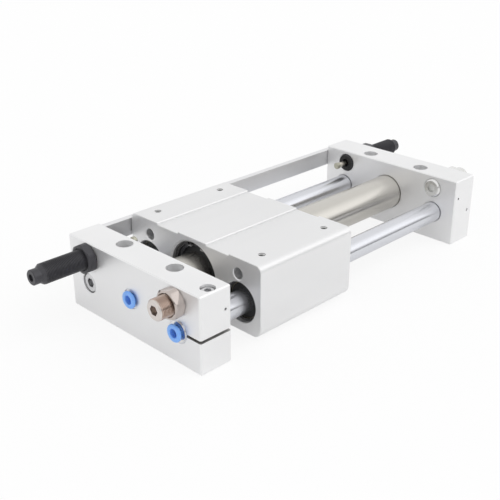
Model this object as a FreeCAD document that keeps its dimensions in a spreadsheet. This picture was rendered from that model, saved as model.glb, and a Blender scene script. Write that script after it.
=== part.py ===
"""Guided rodless cylinder with a magnetically coupled piston: 25 mm bore, 150 mm stroke.

X runs along the stroke, +Y points to the sensor rail and +Z up. The origin lies midway
between the two end plates, on the plane that their feet stand on. The carriage and the
piston are drawn about their own middle and placed together at their rest position.
"""
import FreeCAD, Part
import operator
import os
from types import SimpleNamespace

import Sketcher

MAGNETS = 4                  # magnet rings in each half of the coupling
HEX_CORNER = 3 ** -0.5       # a hexagon's corner radius per unit across its flats
TINY = 1e-6                  # volume below which a cut has cut nothing
CLOSE = 1e-4                 # how near two lengths are to count as equal
SIDES = (-1, 1)
SHOCK_NUT_TURNS = (30, 0)    # degrees, front and rear
STOP_NUT_TURNS = (-13, 8)

# Driving dimensions in millimetres
SIZES = {
    # Travel and fits
    "stroke": 150,               # carriage travel between the stop bolts
    "rest_shift": -50.5,         # carriage middle at rest, from mid stroke
    "stop_gap": 2,               # carriage to plate at the end of the stroke
    "slip": 0.05,                # radial play of a sliding fit
    # Tube, magnetic coupling and carriage
    "bore_dia": 25,
    "tube_wall": 1.4,
    "tube_seat": 8,              # depth of the tube in each plate
    "coupler_dia": 44,           # carriage bore that holds the outer magnets
    "coupling_length": 52,       # magnets and yokes together
    "yoke_length": 4,
    "coupler_end": 18,           # from the coupling to the carriage end
    "slider_gap": 0.5,           # outer yokes to tube
    "ring_sink": 3.5,            # carriage end to retaining ring
    "ring_thick": 1.75,
    "ring_depth": 1,             # how far the ring bites into the carriage
    "ring_width": 3.2,           # radial width of the retaining ring
    "ring_opening": 9,           # gap between the ring's ears
    "ear_width": 4.5,
    "ear_reach": 2.8,            # ears inward of the ring
    "ear_root": 0.8,             # ears into the ring
    "ear_hole": 2,
    "ear_hole_drop": 0.9,        # its middle inward of the ring
    "scraper_length": 3,
    "scraper_width": 3.6,        # radial
    "wear_inset": 1.5,           # wear ring from the magnets and yokes
    "wear_length": 4,
    "wear_width": 1.5,           # radial
    "floor_gap": 2.8,            # carriage underside above the feet
    "coupler_floor": 2.2,        # carriage wall below the ring groove
    "coupler_roof": 3,           # carriage wall above the ring groove
    "table_rise": 1,             # carriage top above the plates
    "side_wall": 5,              # carriage wall outside the guide bores
    "bore_web": 8,               # carriage wall between coupler and guide bores
    "top_radius": 5,
    "bottom_radius": 7,
    "groove_inner": 13.4,        # relief grooves of the carriage top, from its middle
    "groove_outer": 35.6,
    "groove_depth": 1.2,
    "groove_bevel": 0.6,
    "bore_chamfer": 1.2,
    "edge_chamfer": 0.4,
    "table_pitch_x": 60,         # tapped holes for the load
    "table_pitch_y": 102,
    "table_tap": 5,
    "table_depth": 8,
    # Guide shafts and ball bushings
    "shaft_dia": 16,
    "shaft_drop": 5,             # shaft axes below the tube axis
    "shaft_seat": 12,            # depth of a shaft in its blind seat
    "shaft_wall": 4.2,           # plate wall between a seat and its screw head
    "air_dia": 8,                # bore of the hollow shaft
    "bushing_wall": 6,
    "bushing_sink": 5,           # carriage end to bushing
    "bushing_gap": 4,            # between the two bushings of a bore
    "cage_wall": 2.4,
    "lip_length": 2.4,           # end seals of a bushing
    "lip_width": 4,
    "clip_thick": 1.2,
    "clip_width": 2.4,
    "clip_depth": 0.9,
    # End plates
    "rail_gap": 1,               # carriage side to plate side
    "plate_chamfer": 0.8,
    "foot_pitch": 50,
    "foot_inset": 9,             # from the plate's inner face
    "foot_hole": 7,
    "foot_head": 11.5,
    "foot_sink": 7,
    "slit": 2,
    "clamp_offset": 6,           # clamp screw outside the shaft
    "clamp_inset": 12,           # clamp screw from the plate's outer face
    "clamp_dia": 5,
    "clamp_head": 8.5,
    "clamp_head_height": 5,
    "clamp_sink": 1.5,
    "clamp_grip": 11,            # thread below the slit
    "clamp_socket": 4,
    "clamp_socket_depth": 2.5,
    "head_play": 0.6,            # radial room around a sunk screw head
    "end_screw_dia": 8,
    "end_head": 13,
    "end_head_height": 8,
    "end_sink": 0.8,
    "end_grip": 15,              # screw length inside the shaft
    "end_socket": 6,
    "screw_play": 0.25,
    "tap_runout": 2,             # thread depth past a screw's tip
    "set_screw_dia": 5,
    "set_screw_length": 8,
    "set_screw_inset": 4.5,
    "set_socket": 2.5,
    "set_socket_depth": 4,
    "relief": 0.6,               # radial, where a shaft or the tube enters a plate
    "relief_depth": 1.2,
    "seal_section": 1.7,         # cord of the static seals
    "seal_play": 0.03,
    "seal_room": 0.6,            # along the axis, on each side of a seal
    "seal_inset": 4.2,           # tube seal from the plate's inner face
    "shaft_seal_inset": 9.5,
    "passage_dia": 2.5,          # cross drilling that joins shaft and tube
    "passage_inset": 6,          # from the plate's outer face
    "passage_drop": 3,           # below the tube axis
    "plug_sink": 2,
    "pin_hole": 2,
    "pin_depth": 4,
    "pin_inset": 4.6,
    "pin_height": 38,
    # Shock absorbers and stop bolts
    "buffer_inset": 1.5,         # buffer axes inside the shaft axes
    "strike_dia": 8,             # channels in the carriage for the shock rods
    "strike_web": 1.8,           # carriage wall between channel and guide bore
    "strike_gap": 0.5,           # rod to striker at the end of the stroke
    "strike_chamfer": 0.5,
    "buffer_dia": 14,            # thread of shock absorbers and stop bolts
    "buffer_chamfer": 1,
    "mouth_chamfer": 0.6,
    "roof_wall": 1,              # plate left between a mouth and the top bevel
    "shock_edge": 0.5,           # bevel at the ends of a shock absorber
    "nut_across": 19,
    "shock_nut": 6.5,
    "stop_nut": 7.5,
    "nut_bevel": 1.1,
    "shock_tail": 43.5,          # outside the plate
    "shock_nose": 1.5,           # inside the plate
    "tail_dia": 10.4,
    "tail_length": 5.2,
    "tail_cone": 2.6,
    "tail_recess_dia": 5,
    "tail_recess": 1.5,
    "rod_dia": 4,
    "rod_out": 12.5,
    "rod_length": 48,
    "button_dia": 6,
    "button_length": 3.5,
    "button_play": 0.4,
    "button_round": 0.6,
    "button_recess": 4,
    "gland_length": 6,
    "chamber_dia": 10.4,
    "chamber_length": 42,
    "rod_head_length": 6,
    "rod_head_play": 0.3,
    "stop_out": 16.5,
    "stop_nose": 1.7,
    "stop_socket": 6,
    "socket_depth": 5,
    # Push-in ports
    "hose_dia": 6,
    "collar_dia": 12.4,
    "collar_flange": 2.2,
    "collar_round": 0.5,
    "collar_neck": 8.8,
    "collar_play": 0.1,          # radial, inside the fitting
    "collar_reach": 5.8,         # collar inside the fitting
    "collar_lift": 1.3,          # room under the flange to press it
    "fitting_dia": 13.8,
    "fitting_flange": 0.7,
    "fitting_stub": 12,
    "fitting_length": 9,
    "fitting_seal": 1,
    "fitting_step": 0.7,         # hose stop behind the seal
    "fitting_back": 0.8,
    "fitting_hole": 4,
    "port_drop": 0.7,            # plate fitting below the plate face
    "port_way": 5,               # air way from the fitting into the tube
    # Sensor rail
    "rail_thick": 5,
    "rail_height": 12.7,
    "rail_bottom": 36,
    "rail_lap": 20,              # over each plate
    "slot_height": 4.2,          # slot middle above the rail's lower edge
    "slot_mouth": 2.8,
    "slot_lip": 1,
    "slot_width": 4.6,
    "slot_depth": 3.4,
    "rail_screw_dia": 3,
    "rail_screw_head": 5.6,
    "rail_screw_cone": 1.3,
    "rail_screw_grip": 7,
    "rail_screw_height": 9.5,    # above the rail's lower edge
    "rail_screw_inset": 12.5,    # from the plate's inner face
    "sensor_magnet_dia": 6,
    "sensor_magnet_length": 4,
    # Piston
    "piston_gap": 0.1,
    "piston_length": 16,
    "core_gap": 0.6,             # inner yokes to tube
    "core_rod_dia": 7,
    "core_grip": 12,             # rod inside each piston
    "piston_wear_inset": 2.5,
    "piston_wear_depth": 1.2,
    "piston_seal_length": 3,
    "piston_seal_depth": 2.1,
    "piston_seal_inset": 3,      # from the piston's outer face
    "ring_play": 0.1,            # axial play of rings in their grooves
    "bumper_dia": 14,
    "bumper_length": 3,
    "bumper_peg_dia": 4,
    "bumper_peg": 3,
}


class Size:
    """A length, with its value and the sheet formula that gives it."""

    def __init__(self, value, formula):
        self.value = value
        self.formula = formula

    def __add__(self, other):
        return joined(self, "+", other)

    def __radd__(self, other):
        return joined(other, "+", self)

    def __sub__(self, other):
        return joined(self, "-", other)

    def __rsub__(self, other):
        return joined(other, "-", self)

    def __mul__(self, other):
        return joined(self, "*", other)

    def __rmul__(self, other):
        return joined(other, "*", self)

    def __truediv__(self, other):
        return joined(self, "/", other)

    def __neg__(self):
        return joined(-1, "*", self)


ARITHMETIC = {"+": operator.add, "-": operator.sub, "*": operator.mul, "/": operator.truediv}


def value_of(size):
    return size.value if isinstance(size, Size) else size


def formula_of(size):
    return size.formula if isinstance(size, Size) else f"({size})"


def joined(left, sign, right):
    value = ARITHMETIC[sign](value_of(left), value_of(right))
    return Size(value, f"({formula_of(left)} {sign} {formula_of(right)})")


def larger(left, right):
    return Size(max(left.value, right.value), f"max({left.formula}; {right.formula})")


doc = FreeCAD.newDocument("RodlessCylinder")
sheet = doc.addObject("Spreadsheet::Sheet", "Sizes")
for row, (name, number) in enumerate(SIZES.items(), start=1):
    sheet.set(f"A{row}", name)
    sheet.set(f"B{row}", str(number))
    sheet.setAlias(f"B{row}", name)
doc.recompute()
dim = SimpleNamespace(**{name: Size(float(getattr(sheet, name)), f"Sizes.{name}") for name in SIZES})

# Sizes that follow from the driving ones
tube_dia = dim.bore_dia + 2 * dim.tube_wall
tube_height = dim.floor_gap + dim.coupler_floor + dim.ring_depth + dim.coupler_dia / 2
carriage_length = dim.coupling_length + 2 * dim.coupler_end
bushing_dia = dim.shaft_dia + 2 * dim.bushing_wall
bushing_length = carriage_length / 2 - dim.bushing_sink - dim.bushing_gap / 2
shaft_y = dim.coupler_dia / 2 + dim.ring_depth + dim.bore_web + bushing_dia / 2
shaft_height = tube_height - dim.shaft_drop
carriage_width = 2 * (shaft_y + bushing_dia / 2 + dim.side_wall)
plate_width = carriage_width + 2 * dim.rail_gap
end_pocket = dim.end_head_height + dim.end_sink
plate_thick = dim.shaft_seat + dim.shaft_wall + end_pocket
plate_in = (dim.stroke + carriage_length) / 2 + dim.stop_gap
plate_out = plate_in + plate_thick
buffer_y = shaft_y - dim.buffer_inset
buffer_height = shaft_height + bushing_dia / 2 + dim.strike_web + dim.strike_dia / 2
buffer_hole = dim.buffer_dia + 2 * dim.slip
buffer_roof = buffer_hole / 2 + dim.mouth_chamfer + dim.roof_wall + dim.plate_chamfer
coupler_top = tube_height + dim.coupler_dia / 2 + dim.ring_depth + dim.coupler_roof
plate_height = larger(coupler_top - dim.table_rise, buffer_height + buffer_roof)
carriage_top = plate_height + dim.table_rise
strike_sink = dim.shock_nose + dim.rod_out - dim.stop_gap + dim.strike_gap
passage_x = plate_out - dim.passage_inset
passage_height = tube_height - dim.passage_drop
clamp_x = plate_out - dim.clamp_inset
clamp_y = shaft_y + dim.shaft_dia / 2 + dim.clamp_offset
clamp_pocket = dim.clamp_head_height + dim.clamp_sink
magnet_length = (dim.coupling_length - (MAGNETS + 1) * dim.yoke_length) / MAGNETS
magnet_pitch = magnet_length + dim.yoke_length
port_bore = dim.hose_dia + 2 * dim.slip
collet_bore = dim.collar_neck + 2 * dim.collar_play
fitting_depth = dim.fitting_flange + dim.fitting_length
rail_y = plate_width / 2
slot_z = dim.rail_bottom + dim.slot_height
rail_screw_x = plate_in + dim.rail_screw_inset
rail_screw_z = dim.rail_bottom + dim.rail_screw_height
groove_width = dim.seal_section + 2 * dim.seal_room

parts = []


def bind(thing, prop, size):
    thing.setExpression(prop, formula_of(size))


def new_body(label, along=0):
    """An empty sub-part, moved along X from the origin."""
    body = doc.addObject("PartDesign::Body", label)
    body.Label = label
    bind(body, "Placement.Base.x", along)
    parts.append(body)
    return body


def datum(body, role):
    return next(item for item in body.Origin.OriginFeatures if item.Role == role)


def sketch(body, plane, shift=(0, 0, 0), turn=0):
    """A sketch on one of the body's own planes, moved by (across, up, out of the plane), turned by degrees."""
    made = body.newObject("Sketcher::SketchObject", "Sketch")
    made.AttachmentSupport = [(datum(body, plane), "")]
    made.MapMode = "FlatFace"
    made.AttachmentOffset = FreeCAD.Placement(
        FreeCAD.Vector(), FreeCAD.Rotation(FreeCAD.Vector(0, 0, 1), turn))
    for letter, size in zip("xyz", shift):
        bind(made, "AttachmentOffset.Base." + letter, size)
    return made


def dimension(profile, constraint, size):
    number = profile.addConstraint(constraint)
    if isinstance(size, Size):
        bind(profile, f"Constraints[{number}]", size)


def hold(profile, piece, end, spot):
    """Fixes one point of a sketch by its distances from the sketch's origin."""
    for kind, axis, size in (("DistanceX", -2, spot[0]), ("DistanceY", -1, spot[1])):
        if value_of(size) == 0:
            profile.addConstraint(Sketcher.Constraint("PointOnObject", piece, end, axis))
        else:
            dimension(profile, Sketcher.Constraint(kind, -1, 1, piece, end, value_of(size)), size)


def outline(profile, corners):
    """A closed outline of straight edges through the corners."""
    first = profile.GeometryCount
    count = len(corners)
    spots = [FreeCAD.Vector(value_of(u), value_of(v), 0) for u, v in corners]
    for i in range(count):
        profile.addGeometry(Part.LineSegment(spots[i], spots[(i + 1) % count]), False)
    for i in range(count):
        following = first + (i + 1) % count
        profile.addConstraint(Sketcher.Constraint("Coincident", first + i, 2, following, 1))
    for i, corner in enumerate(corners):
        hold(profile, first + i, 1, corner)


def circle(profile, diameter, spot=(0, 0)):
    centre = FreeCAD.Vector(value_of(spot[0]), value_of(spot[1]), 0)
    shape = Part.Circle(centre, FreeCAD.Vector(0, 0, 1), value_of(diameter) / 2)
    piece = profile.addGeometry(shape, False)
    hold(profile, piece, 3, spot)
    dimension(profile, Sketcher.Constraint("Diameter", piece, value_of(diameter)), diameter)


def hexagon(profile, across):
    corner = across * HEX_CORNER
    outline(profile, (
        (corner, 0), (corner / 2, across / 2), (-corner / 2, across / 2),
        (-corner, 0), (-corner / 2, -across / 2), (corner / 2, -across / 2)))


def finish(body, made):
    body.Tip = made
    doc.recompute()
    return made


def pad(body, profile, length):
    made = body.newObject("PartDesign::Pad", "Pad")
    made.Profile = profile
    bind(made, "Length", length)
    return finish(body, made)


def pocket(body, profile, depth, reverse=False):
    """Cuts against the sketch's normal, or along it when reversed."""
    before = body.Shape.Volume
    made = body.newObject("PartDesign::Pocket", "Pocket")
    made.Profile = profile
    made.Reversed = reverse
    bind(made, "Length", depth)
    finish(body, made)
    if body.Shape.Volume > before - TINY:
        raise RuntimeError(f"a pocket of {body.Label} cuts nothing")
    return made


def revolve(body, profile, axis, kind="Revolution"):
    made = body.newObject("PartDesign::" + kind, kind)
    made.Profile = profile
    made.ReferenceAxis = (profile, [axis])
    made.Angle = 360
    return finish(body, made)


def mirror(body, features, plane="YZ_Plane"):
    made = body.newObject("PartDesign::Mirrored", "Mirrored")
    made.Originals = features
    made.MirrorPlane = (datum(body, plane), [""])
    return finish(body, made)


def in_row(body, feature, pitch, count):
    made = body.newObject("PartDesign::LinearPattern", "Row")
    made.Originals = [feature]
    made.Direction = (datum(body, "X_Axis"), [""])
    bind(made, "Length", pitch * (count - 1))
    made.Occurrences = count
    return finish(body, made)


def dress(body, kind, prop, size, wanted):
    """Chamfers or fillets the edges that pass the test."""
    base = body.Tip
    names = [f"Edge{n}" for n, edge in enumerate(base.Shape.Edges, start=1) if wanted(edge)]
    made = body.newObject("PartDesign::" + kind, kind)
    made.Base = (base, names)
    bind(made, prop, size)
    return finish(body, made)


def chamfer(body, size, wanted):
    return dress(body, "Chamfer", "Size", size, wanted)


def near(a, b):
    return abs(a - value_of(b)) < CLOSE


def is_rim(edge, diameter, x):
    """Whether an edge is a round rim of that diameter on a plane across X."""
    if edge.Curve.TypeId != "Part::GeomCircle":
        return False
    return near(2 * edge.Curve.Radius, diameter) and near(abs(edge.Curve.Center.x), x)


def bore_x(body, spot, diameter, depth, toward):
    """A round hole from (x, y, z) along X, toward +1 or -1."""
    x, y, z = spot
    profile = sketch(body, "YZ_Plane", (y, z, x))
    circle(profile, diameter)
    return pocket(body, profile, depth, toward > 0)


def bore_y(body, spot, diameter, depth, toward):
    x, y, z = spot
    profile = sketch(body, "XZ_Plane", (x, z, -y))
    circle(profile, diameter)
    return pocket(body, profile, depth, toward < 0)


def bore_z(body, spot, diameter, depth, toward):
    x, y, z = spot
    profile = sketch(body, "XY_Plane", (x, y, z))
    circle(profile, diameter)
    return pocket(body, profile, depth, toward > 0)


def turned(body, axis, corners, kind="Revolution"):
    """A solid or a cut turned about an axis along X at axis (y, z), from (x, radius) corners."""
    profile = sketch(body, "XY_Plane", (0, axis[0], axis[1]))
    outline(profile, corners)
    return revolve(body, profile, "H_Axis", kind)


def ring(body, axis, start, end, inner, outer, kind="Revolution"):
    """A plain ring of inner and outer radius between two places along X."""
    return turned(body, axis, ((start, inner), (end, inner), (end, outer), (start, outer)), kind)


def round_bar(body, axis, half, radius):
    """A solid bar about the middle of an axis."""
    return turned(body, axis, ((-half, 0), (half, 0), (half, radius), (-half, radius)))


def hex_socket(body, spot, across, toward):
    x, y, z = spot
    profile = sketch(body, "YZ_Plane", (y, z, x))
    hexagon(profile, across)
    return pocket(body, profile, dim.socket_depth, toward > 0)


# Places along which the pieces line up
TUBE_AXIS = (0, tube_height)
SHOCK_AXIS = (buffer_y, buffer_height)
STOP_AXIS = (-buffer_y, buffer_height)
LEFT_SHAFT = (shaft_y, shaft_height)
RIGHT_SHAFT = (-shaft_y, shaft_height)


def end_plate(label, side):
    """A plate with what both ends share: feet, tube seat, buffer threads and rail thread."""
    body = new_body(label)
    inner = side * plate_in
    profile = sketch(body, "YZ_Plane", (0, 0, plate_in if side > 0 else -plate_out))
    half = plate_width / 2
    outline(profile, ((-half, 0), (half, 0), (half, plate_height), (-half, plate_height)))
    pad(body, profile, plate_thick)
    chamfer(body, dim.plate_chamfer, lambda edge: True)
    bore_x(body, (inner, *TUBE_AXIS), tube_dia + 2 * dim.slip, dim.tube_seat, side)
    seal_groove(body, TUBE_AXIS, side, dim.seal_inset, tube_dia)
    for axis, diameter in ((TUBE_AXIS, tube_dia), (LEFT_SHAFT, dim.shaft_dia), (RIGHT_SHAFT, dim.shaft_dia)):
        bore_x(body, (inner, *axis), diameter + 2 * dim.relief, dim.relief_depth, side)
    bore_x(body, (inner, *SHOCK_AXIS), buffer_hole, plate_thick, side)
    bore_x(body, (inner, *STOP_AXIS), buffer_hole, plate_thick, side)
    chamfer(body, dim.mouth_chamfer, lambda edge: is_rim(edge, buffer_hole, plate_in))
    for across in SIDES:
        foot = (side * (plate_in + dim.foot_inset), across * dim.foot_pitch / 2, plate_height)
        bore_z(body, foot, dim.foot_hole, plate_height, -1)
        bore_z(body, foot, dim.foot_head, dim.foot_sink, -1)
    bore_x(body, (inner, *LEFT_SHAFT), dim.shaft_dia + 2 * dim.slip, dim.shaft_seat, side)
    outer_left = (side * plate_out, *LEFT_SHAFT)
    bore_x(body, outer_left, dim.end_screw_dia + 2 * dim.screw_play, plate_thick - dim.shaft_seat, -side)
    bore_x(body, outer_left, dim.end_head + 2 * dim.head_play, end_pocket, -side)
    thread = (side * rail_screw_x, rail_y, rail_screw_z)
    bore_y(body, thread, dim.rail_screw_dia + 2 * dim.slip, dim.rail_screw_grip + dim.tap_runout, -1)
    mark = (side * (plate_in + dim.pin_inset), -half, dim.pin_height)
    bore_y(body, mark, dim.pin_hole, dim.pin_depth, 1)
    return body


def seal_groove(body, axis, side, inset, diameter):
    """A groove for a round seal in the wall of a seat, its middle inset from the inner face."""
    middle = side * (plate_in + inset)
    wall = diameter / 2 + dim.slip
    ring(body, axis, middle - groove_width / 2, middle + groove_width / 2,
         wall - dim.slip, wall + dim.seal_section + dim.seal_play, "Groove")


def seal(body, axis, middle, diameter):
    """A round seal on a tube or shaft of that diameter, its middle at a place along X."""
    profile = sketch(body, "XY_Plane", (0, axis[0], axis[1]))
    circle(profile, dim.seal_section, (middle, (diameter + dim.seal_section) / 2 + dim.slip))
    return revolve(body, profile, "H_Axis")


# Front plate: tube port, clamped hollow shaft
front_plate = end_plate("front_plate", -1)
face = (-plate_out, *TUBE_AXIS)
bore_x(front_plate, face, dim.fitting_dia + 2 * dim.slip, dim.port_drop + dim.fitting_flange, 1)
bore_x(front_plate, face, dim.fitting_stub + 2 * dim.slip, dim.port_drop + fitting_depth, 1)
air_length = plate_thick - dim.tube_seat - dim.port_drop - fitting_depth
bore_x(front_plate, (-(plate_in + dim.tube_seat), *TUBE_AXIS), dim.port_way, air_length, -1)
bore_x(front_plate, (-plate_in, *RIGHT_SHAFT), dim.shaft_dia + 2 * dim.slip, plate_thick, -1)
slit_profile = sketch(front_plate, "YZ_Plane", (0, 0, -plate_out))
slit_low = shaft_height - dim.slit / 2
slit_high = shaft_height + dim.slit / 2
slit_end = -plate_width / 2 - dim.slit
outline(slit_profile, (
    (slit_end, slit_low), (-shaft_y, slit_low), (-shaft_y, slit_high), (slit_end, slit_high)))
pocket(front_plate, slit_profile, plate_thick, True)
clamp_top = (-clamp_x, -clamp_y, plate_height)
bore_z(front_plate, clamp_top, dim.clamp_head + 2 * dim.head_play, clamp_pocket, -1)
bore_z(front_plate, clamp_top, dim.clamp_dia + 2 * dim.screw_play, plate_height - shaft_height, -1)
clamp_thread = (-clamp_x, -clamp_y, slit_low)
bore_z(front_plate, clamp_thread, dim.clamp_dia + 2 * dim.slip, dim.clamp_grip + dim.tap_runout, -1)

# Rear plate: blind shaft seats and the cross drilling that feeds the far end of the tube
rear_plate = end_plate("rear_plate", 1)
bore_x(rear_plate, (plate_in, *RIGHT_SHAFT), dim.shaft_dia + 2 * dim.slip, dim.shaft_seat, 1)
seal_groove(rear_plate, RIGHT_SHAFT, 1, dim.shaft_seal_inset, dim.shaft_dia)
chamber_end = passage_x + dim.passage_dia
for axis, seat in ((RIGHT_SHAFT, dim.shaft_seat), (TUBE_AXIS, dim.tube_seat)):
    bore_x(rear_plate, (plate_in + seat, *axis), dim.air_dia, chamber_end - plate_in - seat, 1)
bore_y(rear_plate, (passage_x, -plate_width / 2, passage_height), dim.passage_dia, plate_width / 2, 1)
set_screw_x = plate_in + dim.set_screw_inset
bore_z(rear_plate, (set_screw_x, -shaft_y, 0), dim.set_screw_dia + 2 * dim.slip, shaft_height, 1)

# Cylinder tube, its end seals and the plug of the cross drilling
tube_end = plate_in + dim.tube_seat
cylinder_tube = new_body("cylinder_tube")
ring(cylinder_tube, TUBE_AXIS, -tube_end, tube_end, dim.bore_dia / 2, tube_dia / 2)
tube_seals = new_body("tube_seals")
mirror(tube_seals, [seal(tube_seals, TUBE_AXIS, plate_in + dim.seal_inset, tube_dia)])
shaft_seal = new_body("shaft_seal")
seal(shaft_seal, RIGHT_SHAFT, plate_in + dim.shaft_seal_inset, dim.shaft_dia)

passage_plug = doc.addObject("Part::Sphere", "passage_plug")
passage_plug.Label = "passage_plug"
bind(passage_plug, "Radius", dim.passage_dia / 2 - dim.slip)
plug_spot = (passage_x, dim.plug_sink - plate_width / 2, passage_height)
for letter, size in zip("xyz", plug_spot):
    bind(passage_plug, "Placement.Base." + letter, size)
parts.append(passage_plug)

# Guide shafts: the left one solid with tapped ends, the right one hollow for air
shaft_end = plate_in + dim.shaft_seat
tap_depth = dim.end_grip + dim.tap_runout
guide_shaft_left = new_body("guide_shaft_left")
shaft_radius = dim.shaft_dia / 2
round_bar(guide_shaft_left, LEFT_SHAFT, shaft_end, shaft_radius)
for side in SIDES:
    tap = (side * shaft_end, *LEFT_SHAFT)
    bore_x(guide_shaft_left, tap, dim.end_screw_dia + 2 * dim.slip, tap_depth, -side)
chamfer(guide_shaft_left, dim.edge_chamfer, lambda edge: is_rim(edge, dim.shaft_dia, shaft_end))
guide_shaft_right = new_body("guide_shaft_right")
ring(guide_shaft_right, RIGHT_SHAFT, -plate_out, shaft_end, dim.air_dia / 2, shaft_radius)
stub_bore = dim.fitting_stub + 2 * dim.slip
bore_x(guide_shaft_right, (-plate_out, *RIGHT_SHAFT), stub_bore, dim.fitting_length, 1)

# Screws
shaft_end_screws = new_body("shaft_end_screws")
head_face = -plate_out + dim.end_sink
head_back = head_face + dim.end_head_height
head_radius = dim.end_head / 2
screw_tip = dim.end_grip - shaft_end
screw_radius = dim.end_screw_dia / 2
screw = turned(shaft_end_screws, LEFT_SHAFT, (
    (head_face, 0), (head_face, head_radius - dim.edge_chamfer), (head_face + dim.edge_chamfer, head_radius),
    (head_back, head_radius), (head_back, screw_radius), (screw_tip, screw_radius), (screw_tip, 0)))
socket = hex_socket(shaft_end_screws, (head_face, *LEFT_SHAFT), dim.end_socket, 1)
mirror(shaft_end_screws, [screw, socket])

clamp_screw = new_body("clamp_screw")
clamp_face = plate_height - dim.clamp_sink
clamp_shoulder = clamp_face - dim.clamp_head_height
clamp_tip = slit_low - dim.clamp_grip
profile = sketch(clamp_screw, "XZ_Plane", (-clamp_x, 0, clamp_y))
outline(profile, (
    (0, clamp_tip), (dim.clamp_dia / 2, clamp_tip), (dim.clamp_dia / 2, clamp_shoulder),
    (dim.clamp_head / 2, clamp_shoulder), (dim.clamp_head / 2, clamp_face - dim.edge_chamfer),
    (dim.clamp_head / 2 - dim.edge_chamfer, clamp_face), (0, clamp_face)))
revolve(clamp_screw, profile, "V_Axis")
profile = sketch(clamp_screw, "XY_Plane", (-clamp_x, -clamp_y, clamp_face))
hexagon(profile, dim.clamp_socket)
pocket(clamp_screw, profile, dim.clamp_socket_depth)

shaft_set_screw = new_body("shaft_set_screw")
set_top = shaft_height - dim.shaft_dia / 2 - dim.slip
set_low = set_top - dim.set_screw_length
profile = sketch(shaft_set_screw, "XZ_Plane", (set_screw_x, 0, shaft_y))
set_radius = dim.set_screw_dia / 2
outline(profile, ((0, set_low), (set_radius, set_low), (set_radius, set_top), (0, set_top)))
revolve(shaft_set_screw, profile, "V_Axis")
profile = sketch(shaft_set_screw, "XY_Plane", (set_screw_x, -shaft_y, set_low))
hexagon(profile, dim.set_socket)
pocket(shaft_set_screw, profile, dim.set_socket_depth, True)

# Sensor rail with its undercut slot, screwed to the left side of both plates
sensor_rail = new_body("sensor_rail")
rail_half = plate_in + dim.rail_lap
rail_top = dim.rail_bottom + dim.rail_height
rail_face = rail_y + dim.rail_thick
mouth = dim.slot_mouth / 2
cavity = dim.slot_width / 2
profile = sketch(sensor_rail, "YZ_Plane", (0, 0, -rail_half))
outline(profile, (
    (rail_y, dim.rail_bottom), (rail_face, dim.rail_bottom), (rail_face, slot_z - mouth),
    (rail_face - dim.slot_lip, slot_z - mouth), (rail_face - dim.slot_lip, slot_z - cavity),
    (rail_face - dim.slot_depth, slot_z - cavity), (rail_face - dim.slot_depth, slot_z + cavity),
    (rail_face - dim.slot_lip, slot_z + cavity), (rail_face - dim.slot_lip, slot_z + mouth),
    (rail_face, slot_z + mouth), (rail_face, rail_top), (rail_y, rail_top)))
pad(sensor_rail, profile, 2 * rail_half)
head_seat = dim.rail_screw_head / 2 + dim.slip
shank_seat = dim.rail_screw_dia / 2 + dim.slip
cone_back = rail_face - dim.rail_screw_cone
for side in SIDES:
    profile = sketch(sensor_rail, "XY_Plane", (side * rail_screw_x, 0, rail_screw_z))
    outline(profile, (
        (0, rail_y), (shank_seat, rail_y), (shank_seat, cone_back), (head_seat, rail_face), (0, rail_face)))
    revolve(sensor_rail, profile, "V_Axis", "Groove")
rail_screws = new_body("rail_screws")
profile = sketch(rail_screws, "XY_Plane", (rail_screw_x, 0, rail_screw_z))
rail_screw_tip = rail_y - dim.rail_screw_grip
rail_shank = dim.rail_screw_dia / 2
outline(profile, ((0, rail_screw_tip), (rail_shank, rail_screw_tip), (rail_shank, cone_back),
                  (dim.rail_screw_head / 2, rail_face), (0, rail_face)))
mirror(rail_screws, [revolve(rail_screws, profile, "V_Axis")])


def shock_absorber(name, side):
    """The threaded body with its rod gland, and the rod that the carriage pushes in."""
    nose = side * (plate_in - dim.shock_nose)
    tail = side * (plate_out + dim.shock_tail)
    step = tail - side * dim.tail_length
    gland = nose + side * dim.button_recess
    chamber = gland + side * dim.gland_length
    chamber_back = chamber + side * dim.chamber_length
    radius = dim.buffer_dia / 2
    edge = dim.shock_edge
    recess = dim.button_dia / 2 + dim.button_play
    rod_play = dim.rod_dia / 2 + dim.slip
    tail_radius = dim.tail_dia / 2
    recess_floor = tail - side * dim.tail_recess
    recess_radius = dim.tail_recess_dia / 2
    body = new_body(f"{name}_shock_body")
    turned(body, SHOCK_AXIS, (
        (nose, recess), (nose, radius - edge), (nose + side * edge, radius),
        (step - side * dim.tail_cone, radius), (step, tail_radius), (tail - side * edge, tail_radius),
        (tail, tail_radius - edge), (tail, recess_radius), (recess_floor, recess_radius), (recess_floor, 0),
        (chamber_back, 0), (chamber_back, dim.chamber_dia / 2), (chamber, dim.chamber_dia / 2),
        (chamber, rod_play), (gland, rod_play), (gland, recess)))
    tip = nose - side * dim.rod_out
    button_back = tip + side * dim.button_length
    rod_back = tip + side * dim.rod_length
    head = rod_back - side * dim.rod_head_length
    button = dim.button_dia / 2
    shank = dim.rod_dia / 2
    damper = dim.chamber_dia / 2 - dim.rod_head_play
    rod = new_body(f"{name}_shock_rod")
    turned(rod, SHOCK_AXIS, (
        (tip, 0), (tip, button - dim.button_round), (tip + side * dim.button_round, button),
        (button_back, button), (button_back, shank), (head, shank), (head, damper),
        (rod_back, damper), (rod_back, 0)))


shock_absorber("front", -1)
shock_absorber("rear", 1)


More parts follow.
